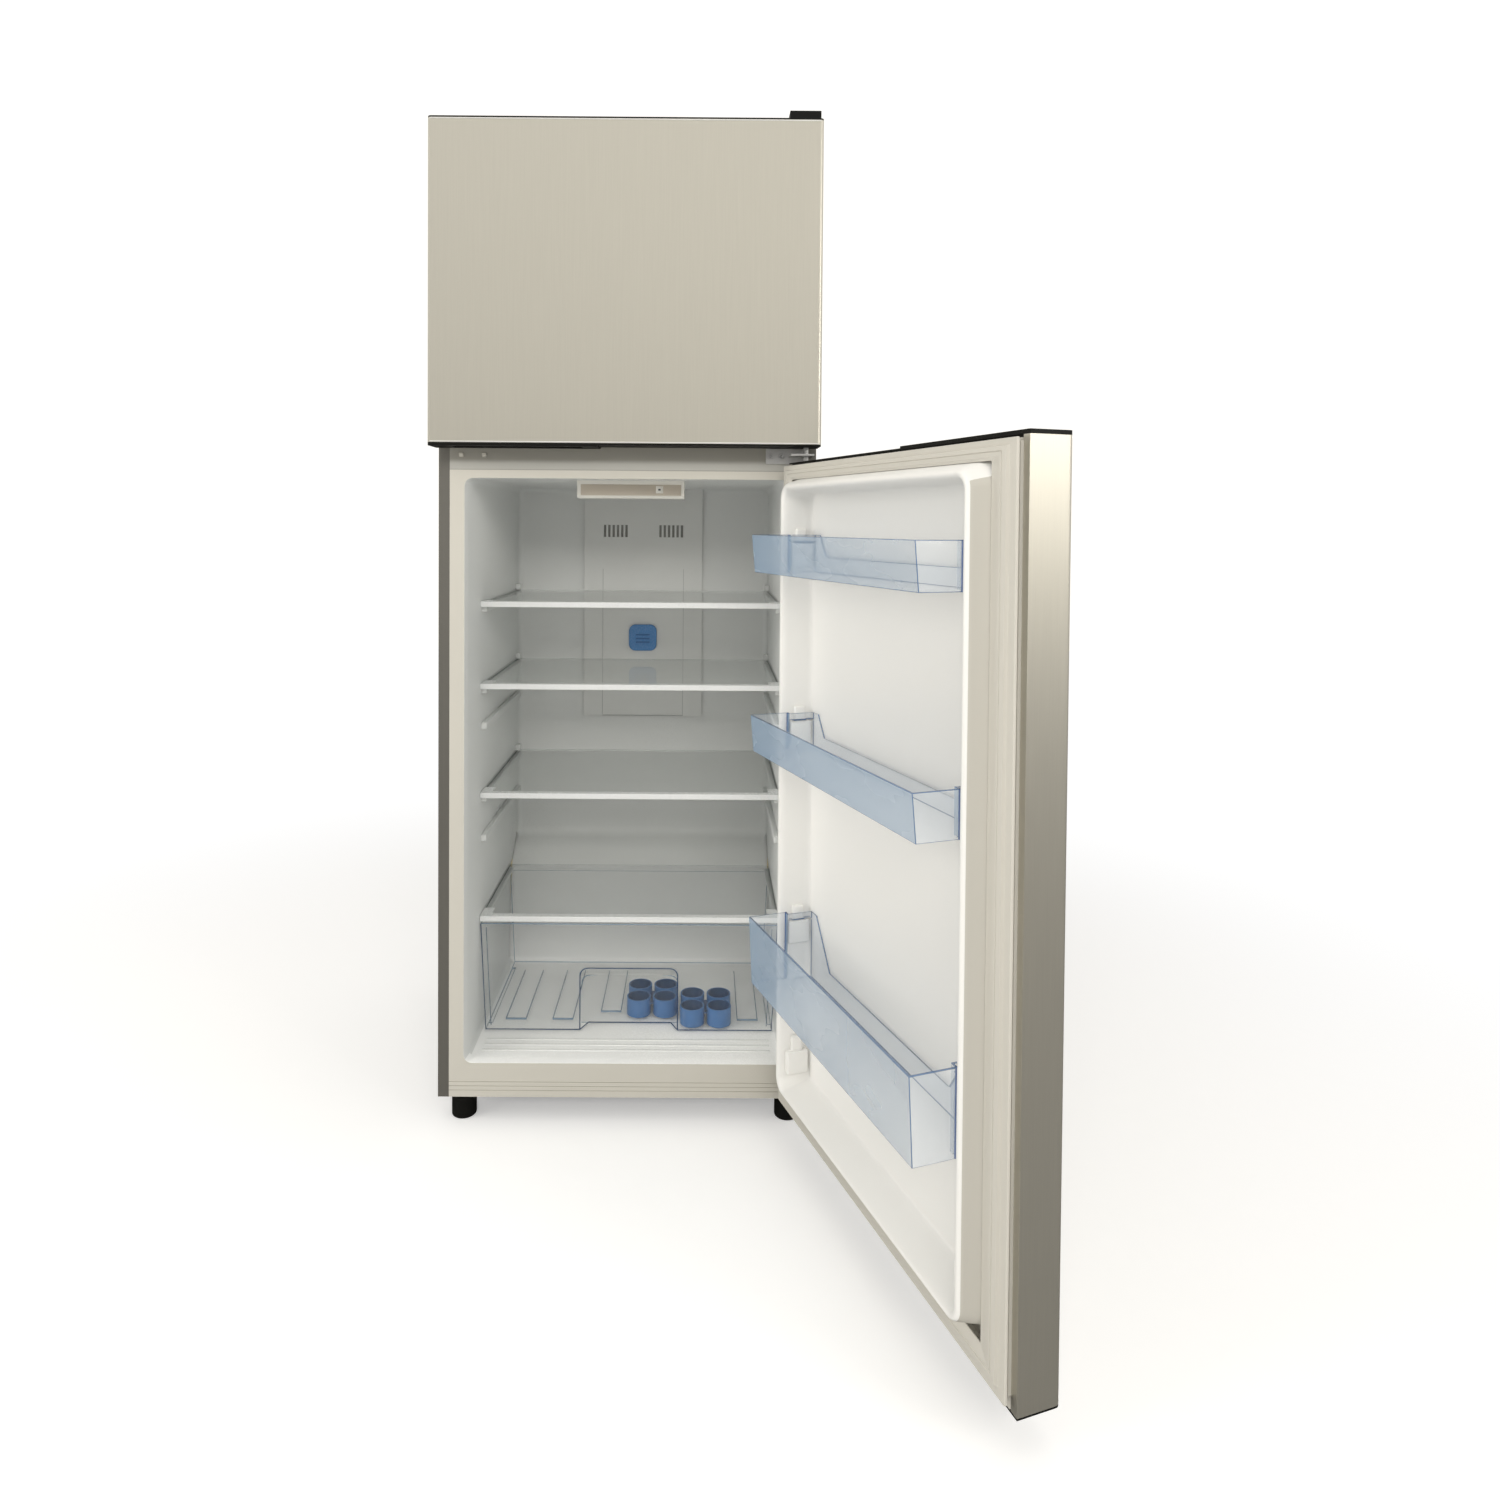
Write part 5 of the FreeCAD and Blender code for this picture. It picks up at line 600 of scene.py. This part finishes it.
# Egg trays. Two loose blue mouldings of four cups each, which stand in the drawer; the inside of
# a cup and the web between the cups carry a painted shade, a darker blue than the outside.
EGG_PITCH, EGG_WEB = 0.046, 0.130
EGG_STARTS = ((0.0138, -0.1023), (0.1077, -0.1358))
egg_finish = enamel("egg_cup_blue", (0.042, 0.150, 0.37), 0.30, cells=500.0)
egg_cup_shade = enamel("egg_cup_painted_shade", (0.018, 0.060, 0.160), 0.36, cells=500.0)
egg_tray = softened("egg_tray", "crisper", "egg_blue", [egg_finish], width=0.0007, segments=2)
egg_tray.data.materials.append(egg_cup_shade.block)
egg_axes = []
for x, y in EGG_STARTS:
    for column, rank in ((0, 0), (0, 1), (1, 0), (1, 1)):
        egg_axes.append(Vector((x + EGG_PITCH * column, y + EGG_PITCH * rank)))
# Painted shade: faces looking into a cup, and the low tops of the web and cup floors, take the darker blue.
for face in egg_tray.data.polygons:
    offset = min([face.center.xy - axis for axis in egg_axes], key=lambda away: away.length)
    low_top = face.normal.z > 0.9 and face.center.z < EGG_WEB
    if low_top or offset.dot(face.normal.xy) < -0.005:
        face.material_index = 1

# Doors. A steel sheet with a champagne-silver film, hairline brushed from top to bottom, folded
# round a foam core, hemmed at its ends and closed there by black moulded caps.
HINGE, OPEN_ANGLE = Vector((0.280, -0.2875, 0.0)), 109.0
SHUT = Matrix()
TURN = Matrix.Rotation(math.radians(OPEN_ANGLE), 4, "Z")
SWING = Matrix.Translation(HINGE) @ TURN @ Matrix.Translation(-HINGE)
HEM_Y, HEM_HALF, HEM_RADIUS = -0.3224, 0.296, 0.0012
HEMS = (("fridge_door", SWING, 0.0493, 1.0605), ("freezer_door", SHUT, 1.0913, 1.5787))


def hairline(name, colour):
    """Brushed metal film, with its lines upright."""
    finish = new_finish(name, {"Metallic": 0.75, "IOR": 1.5})
    lines = speckle(finish, 900.0, (1, 1, 0.012), 4.0)
    broad = speckle(finish, 2.2, (1, 1, 0.6), 2.0)
    finish.feed("Base Color", blend(finish, lines, shade(colour, 0.95), shade(colour, 1.05)))
    finish.feed("Roughness", 0.36 + lines * 0.08 + (broad - 0.5) * 0.05)
    relief(finish, lines, 0.00002)
    return finish


silver = hairline("door_silver_film", (0.61, 0.585, 0.51))
black = enamel("cap_black", (0.009, 0.009, 0.008), 0.50, cells=1100.0, peel=0.00006, ior=1.22)
for door in ("fridge_door", "freezer_door"):
    dress(door + "_skin", silver)
    for end in ("top", "bottom"):
        softened(f"{door}_{end}_cap", door, "black_plastic", [black], width=0.0012, segments=2)
# The hems take a much lighter silver than the film: a painted highlight along each folded edge.
hem_highlight_finish = enamel("hem_painted_highlight", (0.86, 0.86, 0.83), 0.30, cells=900.0, metallic=0.5)
for door, swing, low, high in HEMS:
    hem_lines = [[(x, HEM_Y, z) for x in (-HEM_HALF, HEM_HALF)] for z in (low, high)]
    hem = beads(door + "_hem", hem_lines, HEM_RADIUS)
    hem.transform(swing)
    show(door + "_hem", hem, door, "door_silver", [hem_highlight_finish])

# Door linings. Vacuum-formed sheets with a rounded ridge round a recessed panel; moulded lugs
# on the recess walls carry the bins, and rigid foam fills the door behind.
DOOR_BACK = -0.2685
CREST = DOOR_BACK + 0.038
PANEL = CREST - 0.048
LINING_WALL = 0.002
PLATE_HALF, PLATE_INSET, PLATE_CORNER = 0.2895, 0.005, 0.003
FOOT_HALF, FOOT_CORNER, FOOT_FILLET = 0.2625, 0.028, 0.0035
CORNER_STEPS = 8
# A ridge ring's half width, rise from the foot, corner radius and y.
RIDGE = (
    (0.2590, 0.0, 0.026, DOOR_BACK + 0.003),
    (0.2500, 0.0045, 0.024, CREST - 0.0075),
    (0.2482, 0.0062, 0.022, CREST - 0.003),
    (0.2458, 0.0078, 0.020, CREST - 0.0006),
    (0.2430, 0.0092, 0.018, CREST),
    (0.2402, 0.0106, 0.017, CREST - 0.0008),
    (0.2378, 0.012, 0.016, CREST - 0.004),
)
# A recess ring's half width, share of the lower wall's draft, rise and drop from the mouth, corner
# radius and y.
RECESS = (
    (0.2364, 0.15, 0.0, 0.001, 0.015, CREST - 0.010),
    (0.2330, 0.85, 0.0, 0.0042, 0.013, PANEL + 0.007),
    (0.2318, 1.0, 0.0, 0.0055, 0.012, PANEL + 0.002),
    (0.2295, 1.0, 0.003, 0.008, 0.010, PANEL),
)
# The ridge bands take a darker cream copy of the lining's white: painted shade.
SHADED_BANDS = range(5)
LUG_NEAR, LUG_FAR, LUG_TALL, LUG_FRONT, LUG_BACK = 0.2230, 0.2345, 0.034, PANEL + 0.004, PANEL + 0.038
KNOB_NEAR, KNOB_FAR, KNOB_HALF, KNOB_SUNK, KNOB_TALL = 0.2266, 0.2340, 0.009, 0.002, 0.022
LUG_MIDDLE = (LUG_FRONT + LUG_BACK) / 2
CORE_HALF, CORE_FRONT, CORE_BACK = 0.285, -0.318, -0.281


def frame_ring(half, low, high, radius, y):
    """Points of a rounded rectangle that faces the cabinet."""
    points = []
    corners = ((half, high, 0), (-half, high, 90), (-half, low, 180), (half, low, 270))
    for x, z, start in corners:
        centre = (x - math.copysign(radius, x), z - radius if z == high else z + radius)
        for step in range(CORNER_STEPS + 1):
            turn = math.radians(start + 90.0 * step / CORNER_STEPS)
            x_round, z_round = radius * math.cos(turn), radius * math.sin(turn)
            points.append(Vector((centre[0] + x_round, y, centre[1] + z_round)))
    return points


def loft(bm, rings, close=False, fill=False, second=()):
    """Skins a row of rings; close joins the last to the first, fill caps the last, second has other bands."""
    made = [[bm.verts.new(point) for point in ring] for ring in rings]
    pairs = list(zip(made, made[1:])) + ([(made[-1], made[0])] if close else [])
    for band, (near, far) in enumerate(pairs):
        for index in range(len(near)):
            follow = (index + 1) % len(near)
            face = bm.faces.new((near[index], near[follow], far[follow], far[index]))
            face.material_index = 1 if band in second else 0
    if fill:
        bm.faces.new(made[-1])


def lining(name, plate, foot, top_slope, low_draft, seats, swing):
    """One door lining, drawn shut and then swung to where the door stands."""
    bm = bmesh.new()
    plate_low, foot_low, foot_high = plate[0] + PLATE_INSET, foot[0], foot[1]
    plate_levels = (DOOR_BACK - LINING_WALL, DOOR_BACK)
    rings = [frame_ring(PLATE_HALF, plate_low, plate[1], PLATE_CORNER, y) for y in plate_levels]
    fillet_low, fillet_high = foot_low - FOOT_FILLET, foot_high + FOOT_FILLET
    rings.append(frame_ring(FOOT_HALF, fillet_low, fillet_high, FOOT_CORNER, DOOR_BACK))
    for half, rise, radius, y in RIDGE:
        mouth_low, mouth_high = foot_low + rise, foot_high - rise * top_slope
        rings.append(frame_ring(half, mouth_low, mouth_high, radius, y))
    for half, share, rise, drop, radius, y in RECESS:
        rings.append(frame_ring(half, mouth_low + low_draft * share + rise, mouth_high - drop, radius, y))
    loft(bm, rings, fill=True, second=SHADED_BANDS)
    bmesh.ops.recalc_face_normals(bm, faces=bm.faces)
    # Painted light: slopes of the ridge that face upwards go back to the lining's white, as if lit from
    # above.
    for face in bm.faces:
        if face.normal.z > 0.3 and abs(face.normal.y) > 0.05:
            face.material_index = 0
    for seat in seats:
        spans = zip(either_side(LUG_NEAR, LUG_FAR), either_side(KNOB_NEAR, KNOB_FAR))
        for (lug_left, lug_right), (knob_left, knob_right) in spans:
            lug_low = (lug_left, LUG_FRONT, seat - LUG_TALL)
            pillow_box(bm, lug_low, (lug_right, LUG_BACK, seat), radius=0.0025)
            knob_low = (knob_left, LUG_MIDDLE - KNOB_HALF, seat - KNOB_SUNK)
            knob_high = (knob_right, LUG_MIDDLE + KNOB_HALF, seat + KNOB_TALL)
            pillow_box(bm, knob_low, knob_high, radius=0.003)
    mesh = as_mesh(name, bm, smooth=50.0)
    mesh.transform(swing)
    return mesh


door_white = enamel("door_liner_white", (0.86, 0.855, 0.83), 0.32, cells=500.0, peel=0.00002, patch=0.012)
# A darker cream copy of the lining's white: painted shade for the ridge.
lining_painted_shade = enamel("door_liner_painted_shade", (0.545, 0.527, 0.475), 0.34, cells=500.0, peel=0.00002, patch=0.012)
fridge_form = {"plate": (0.043, 1.059), "foot": (0.103, 1.0385), "top_slope": 1.55, "low_draft": 0.0125}
fridge_seats = (0.940, 0.673, 0.371, 0.171)
freezer_form = {"plate": (1.085, 1.580), "foot": (1.123, 1.535), "top_slope": 1.0, "low_draft": 0.005}
freezer_seats = (1.412, 1.204)
for door, form, seats, core_low, core_high, swing in (
    ("fridge_door", fridge_form, fridge_seats, 0.060, 1.040, SWING),
    ("freezer_door", freezer_form, freezer_seats, 1.112, 1.566, SHUT),
):
    sheet = lining(door + "_lining", seats=seats, swing=swing, **form)
    show(door + "_lining", sheet, door, "door_liner", [door_white, lining_painted_shade], door + "_liner")
    core = bmesh.new()
    core_near, core_far = (-CORE_HALF, CORE_FRONT, core_low), (CORE_HALF, CORE_BACK, core_high)
    pillow_box(core, core_near, core_far, radius=0.004, segments=2)
    core_mesh = as_mesh(door + "_core", core)
    core_mesh.transform(swing)
    show(door + "_core", core_mesh, door, "foam", [foam_finish], door + "_foam")

# Gaskets. Soft cream extrusions, mitred at the corners, with a bead that snaps behind the
# lining, a bellows, and a magnetic face with a groove.
SEAL_EDGE, SEAL_CORNER = 0.300, 0.0015
# Distances in from the door's edge and out from its back, once round the profile.
SEAL_PROFILE = (
    (0.0100, 0.0000), (0.0100, 0.0040), (0.0145, 0.0046), (0.0145, 0.0076), (0.0052, 0.0086),
    (0.0050, 0.0104), (0.0060, 0.0118), (0.0160, 0.0120), (0.0174, 0.0136), (0.0180, 0.0152),
    (0.0194, 0.0156), (0.0250, 0.0156), (0.0256, 0.0147), (0.0266, 0.0147), (0.0272, 0.0156),
    (0.0344, 0.0156), (0.0354, 0.0151), (0.0436, 0.0148), (0.0438, 0.0138), (0.0356, 0.0132),
    (0.0352, 0.0086), (0.0282, 0.0078), (0.0282, 0.0046), (0.0310, 0.0040), (0.0310, 0.0000),
)
# A door, its lower edge and how far up the bottom run may reach, its upper edge and how far down
# the top run may reach, and how narrow the top run is.
SEALS = (
    ("fridge_door", 0.054, 0.0985, 1.0622, 1.0364, 0.645, SWING),
    ("freezer_door", 1.085, 1.1215, 1.585, 1.540, 1.0, SHUT),
)
seal_finish = enamel("gasket_cream", (0.59, 0.57, 0.515), 0.55, cells=800.0)
for door, low, low_stop, high, high_stop, narrow, swing in SEALS:
    rings = []
    for inward, out in SEAL_PROFILE:
        bottom, top = min(low + inward, low_stop), max(high - inward * narrow, high_stop)
        rings.append(frame_ring(SEAL_EDGE - inward, bottom, top, SEAL_CORNER, DOOR_BACK + out))
    seal = bmesh.new()
    loft(seal, rings, close=True)
    bmesh.ops.recalc_face_normals(seal, faces=seal.faces)
    seal_mesh = as_mesh(door + "_seal", seal, smooth=30.0)
    seal_mesh.transform(swing)
    show(door + "_seal", seal_mesh, door, "gasket", [seal_finish], door + "_gasket")

# Door bins. Pale blue clear trays moulded with a frosted front; the tint gathers in their rims
# and corners, deepest where an end meets the recess. The front carries a painted shade and
# reflection, darker towards the hinge and thinning towards the free end.
FRIDGE_BINS = ("upper_bin", "middle_bin", "bottle_bin")
FREEZER_BINS = ("freezer_upper_bin", "freezer_lower_bin")
BIN_END_X, BIN_END_Y, BIN_BEAD = 0.2291, -0.2381, 0.0016
FROST_NEAR, FROST_FAR = -0.36, -0.80


def frosted(name, thinning):
    """Satin bin front with a painted shade and reflection, darker by the hinge, clearer at the free end."""
    frost = new_finish(name, {"IOR": 1.52, "Coat Weight": 0.3, "Coat Roughness": 0.05})
    along = frost.node("SeparateXYZ", {}, {0: place(frost)}, out="Y")
    # Painted shade and reflection: the front runs from dark by the hinge to lighter and clearer at the free
    # end.
    reach = frost.node("MapRange", {}, {"Value": along, "From Min": FROST_NEAR, "From Max": FROST_FAR})
    flow = speckle(frost, 9.0, (1, 1, 2.5), 2.0)
    frost.feed("Base Color", blend(frost, reach, (0.27, 0.38, 0.52, 1), (0.40, 0.50, 0.62, 1)))
    frost.feed("Roughness", 0.22 + flow * 0.10)
    frost.feed("Alpha", 0.84 - reach * thinning + (flow - 0.5) * 0.03)
    return frost


def looking(direction):
    """Picks the faces that look one way."""
    return lambda face: face.normal.dot(direction) > 0.9


bin_finish = tinted("bin_blue", (0.80, 0.88, 1.0), (0.075, 0.15, 0.30), 0.24, 0.80, rim=0.3)
satin = frosted("bin_frost", 0.48)
# The middle bin's front keeps more of the painted shade along its whole length.
shaded_satin = frosted("bin_frost_painted_shade", 0.12)
corner_finish = tinted("bin_corner", (0.02, 0.10, 0.36), (0.02, 0.10, 0.36), 0.9, 0.9)
for tray in FRIDGE_BINS + FREEZER_BINS:
    swing = SWING if tray in FRIDGE_BINS else SHUT
    tray_finish = bin_finish + [shaded_satin if tray == "middle_bin" else satin]
    front = looking(swing.to_3x3() @ Vector((0, 1, 0)))
    softened(tray, tray, "blue_bin", tray_finish, width=0.0009, segments=2, hidden=inner, third=front)
    levels = [corner[2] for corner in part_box(tray)]
    ends = [[swing @ Vector((x, BIN_END_Y, z)) for z in levels] for x in (-BIN_END_X, BIN_END_X)]
    end_beads = beads(tray + "_corners", ends, BIN_BEAD)
    show(tray + "_corners", end_beads, tray, "blue_bin", corner_finish[:1])

# Hinges. Zinc-grey pressed plates with turned pins, pan-head screws, and a black hood that
# snaps over the top hinge.
hinge_finish = enamel("hinge_grey", (0.55, 0.55, 0.54), 0.36, metallic=0.6)
for hinge in ("top_hinge", "middle_hinge", "bottom_hinge"):
    softened(hinge, "cabinet", "hinge_steel", [hinge_finish], width=0.0006, segments=2)
screw_finish = zinc("screw_zinc", (0.66, 0.66, 0.66), flakes=300.0)
softened("hinge_screws", "cabinet", "screws", [screw_finish], width=0.0005, segments=2)
softened("top_hinge_cover", "cabinet", "black_plastic", [black], width=0.004, segments=4)

# Feet and rollers. Black nylon mouldings. The feet screw up and down to level the front, and the
# rollers turn on pins in the base pan.
softened("foot_left", "left_foot", "black_plastic", [black], width=0.003)
softened("foot_right", "right_foot", "black_plastic", [black], width=0.003)
softened("rear_rollers", "rollers", "black_plastic", [black], width=0.0015)

# Freezer inside. A slotted white moulded shelf that lies on the ledges, and the white moulded
# cover that closes off the cooling pieces at the back.
softened("freezer_shelf", "cabinet", "white_trim", [bar_finish], width=0.0014)
softened("evaporator_cover", "cabinet", "white_trim", [duct_finish], width=0.001)

# Cooling pieces behind the rear cover. Bare aluminium fins, a steel heater tube, and a fan
# with a moulded rotor.
bare = new_finish("fin_aluminium", {"Metallic": 1.0})
rolled = speckle(bare, 500.0, (1, 0.05, 1))
bare.feed("Base Color", blend(bare, rolled, (0.68, 0.69, 0.70, 1), (0.82, 0.83, 0.84, 1)))
bare.feed("Roughness", 0.28 + rolled * 0.15)
relief(bare, rolled, 0.00002)
dress("evaporator", bare)
dress("defrost_heater", zinc("heater_steel", (0.55, 0.55, 0.56), flakes=200.0))
dress("fan_motor", black)
dress("fan_blade", duct_finish)

# Compressor space. A black enamelled compressor on rubber blocks, copper pipes, a drip tray
# and the mains gland.
compressor_finish = enamel("compressor_black", (0.012, 0.012, 0.013), 0.3, cells=500.0)
softened("compressor", "cabinet", "compressor", [compressor_finish], width=0.0015)
dress("compressor_mounts", enamel("mount_rubber", (0.02, 0.02, 0.02), 0.75, cells=500.0, peel=0.0001))
copper = new_finish("pipe_copper", {"Metallic": 1.0})
drawn_marks = speckle(copper, 120.0, detail=4.0)
copper.feed("Base Color", blend(copper, drawn_marks, (0.46, 0.20, 0.11, 1), (0.72, 0.38, 0.24, 1)))
copper.feed("Roughness", 0.25 + drawn_marks * 0.2)
relief(copper, drawn_marks, 0.00003)
dress("refrigerant_pipes", copper)
softened("drip_tray", "cabinet", "black_plastic", [black], width=0.0015)
softened("mains_gland", "cabinet", "black_plastic", [black], width=0.0015)

# Condenser. A black enamelled steel tube with wires welded across it, on four stand-offs that
# hold it off the back panel.
dress("condenser", enamel("coil_black", (0.015, 0.015, 0.017), 0.4, cells=900.0))

# Floor. A plain pale studio floor that keeps the object's shadow near it and fades to white
# further off. It isn't part of the object.
REACH = 6.0
FADE_START, FADE_END = 0.8, 2.1
FLOOR_GLOW, MIRRORED_LOSS = 0.29, 0.95


def grey(finish, level):
    """A grey of a varying level."""
    return finish.node("CombineColor", {}, {0: level, 1: level, 2: level})


floor_mesh = bpy.data.meshes.new("floor")
corners = [(-REACH, -REACH, 0), (REACH, -REACH, 0), (REACH, REACH, 0), (-REACH, REACH, 0)]
floor_mesh.from_pydata(corners, [], [(0, 1, 2, 3)])
floor = bpy.data.objects.new("floor", floor_mesh)
scene.collection.objects.link(floor)
floor_constants = {"Roughness": 0.8, "Specular IOR Level": 0.1, "Emission Strength": 1.0}
floor_finish = new_finish("floor_pale", floor_constants)
floor_grain = speckle(floor_finish, 30.0)
seen_straight = floor_finish.node("LightPath", out="Is Camera Ray")
seen_mirrored = floor_finish.node("LightPath", out="Is Glossy Ray")
away = floor_finish.node("VectorMath", {"operation": "LENGTH"}, {0: place(floor_finish)}, out="Value")
fade_inputs = {"Value": away, "From Min": FADE_START, "From Max": FADE_END}
fade = floor_finish.node("MapRange", smooth_step, fade_inputs) * seen_straight
paint = (0.86 + floor_grain * 0.02) * (1.0 - fade) * (1.0 - seen_mirrored * MIRRORED_LOSS)
floor_finish.feed("Base Color", grey(floor_finish, paint))
floor_finish.feed("Emission Color", grey(floor_finish, seen_straight * FLOOR_GLOW * (1.0 - fade) + fade))
floor_mesh.materials.append(floor_finish.block)

# Light. A warm white studio, which the camera and clear plastics see as plain white, and four
# large soft lamps.
ROOM_LIGHT, ROOM_SEEN = 0.50, 1.1
world = bpy.data.worlds.new("studio")
world.use_nodes = True
scene.world = world
sky = Finish(world)
facing = sky.node("SeparateXYZ", {}, {0: sky.node("TexCoord", out="Generated")}, out="Z")
mirror_range = {"Value": facing, "From Min": -0.2, "From Max": 0.7, "To Min": 0.55, "To Max": 1.0}
mirrored_room = sky.node("MapRange", {}, mirror_range)
glossy_ray = sky.node("LightPath", out="Is Glossy Ray")
camera_ray = sky.node("LightPath", out="Is Camera Ray")
clear_ray = sky.node("LightPath", out="Is Transmission Ray")
lit = sky.node("Mix", {}, {0: glossy_ray, 2: ROOM_LIGHT, 3: mirrored_room})
seen = sky.node("Mix", {}, {0: sky.sum("MAXIMUM", camera_ray, clear_ray), 2: lit, 3: ROOM_SEEN})
sky.feed("Color", (1.0, 0.98, 0.94, 1.0))
sky.feed("Strength", seen)


def softbox(name, at, towards, wide, tall, power, mirrored=False):
    """A large warm area lamp; most aren't mirrored in the shiny doors."""
    lamp = bpy.data.lights.new(name, "AREA")
    lamp.shape = "RECTANGLE"
    lamp.size = wide
    lamp.size_y = tall
    lamp.energy = power
    lamp.color = (1.0, 0.97, 0.915)
    stand = bpy.data.objects.new(name, lamp)
    stand.location = at
    stand.rotation_euler = (Vector(towards) - Vector(at)).to_track_quat("-Z", "Y").to_euler()
    stand.visible_glossy = mirrored
    scene.collection.objects.link(stand)


softbox("key", (-3.2, -1.7, 1.7), (0.2, -0.4, 0.8), wide=2.0, tall=2.4, power=52.0)
softbox("front", (0.2, -3.9, 2.3), (0.0, 0.0, 0.5), wide=2.4, tall=0.8, power=50.0)
softbox("side", (2.6, -2.2, 1.75), (0.45, -0.86, 0.9), wide=1.2, tall=1.3, power=22.0, mirrored=True)
softbox("roof", (0.0, -0.6, 3.6), (0.0, -0.2, 0.0), wide=3.0, tall=3.0, power=15.0)

# Camera. It stands in front of the fridge at half height, a little to the right, with a wide
# lens whose shift frames the object.
LENS, SENSOR, SHIFT_X, SHIFT_Y = 24.30, 36.0, 0.0296, -0.1364
VIEW = Vector((0.12176, -1.86555, 0.9678))
YAW, PITCH, ROLL = (math.radians(angle) for angle in (0.12, 1.20, 0.40))
ahead = Vector((math.sin(YAW) * math.cos(PITCH), math.cos(YAW) * math.cos(PITCH), -math.sin(PITCH)))
right = ahead.cross(Vector((0, 0, 1))).normalized()
up = right.cross(ahead)
across = right * math.cos(ROLL) + up * math.sin(ROLL)
upright = up * math.cos(ROLL) - right * math.sin(ROLL)
camera_data = bpy.data.cameras.new("camera")
camera_data.lens = LENS
camera_data.sensor_width = SENSOR
camera_data.shift_x = SHIFT_X
camera_data.shift_y = SHIFT_Y
camera = bpy.data.objects.new("camera", camera_data)
pose = Matrix((across, upright, -ahead)).transposed().to_4x4()
pose.translation = VIEW
camera.matrix_world = pose
scene.collection.objects.link(camera)
scene.camera = camera
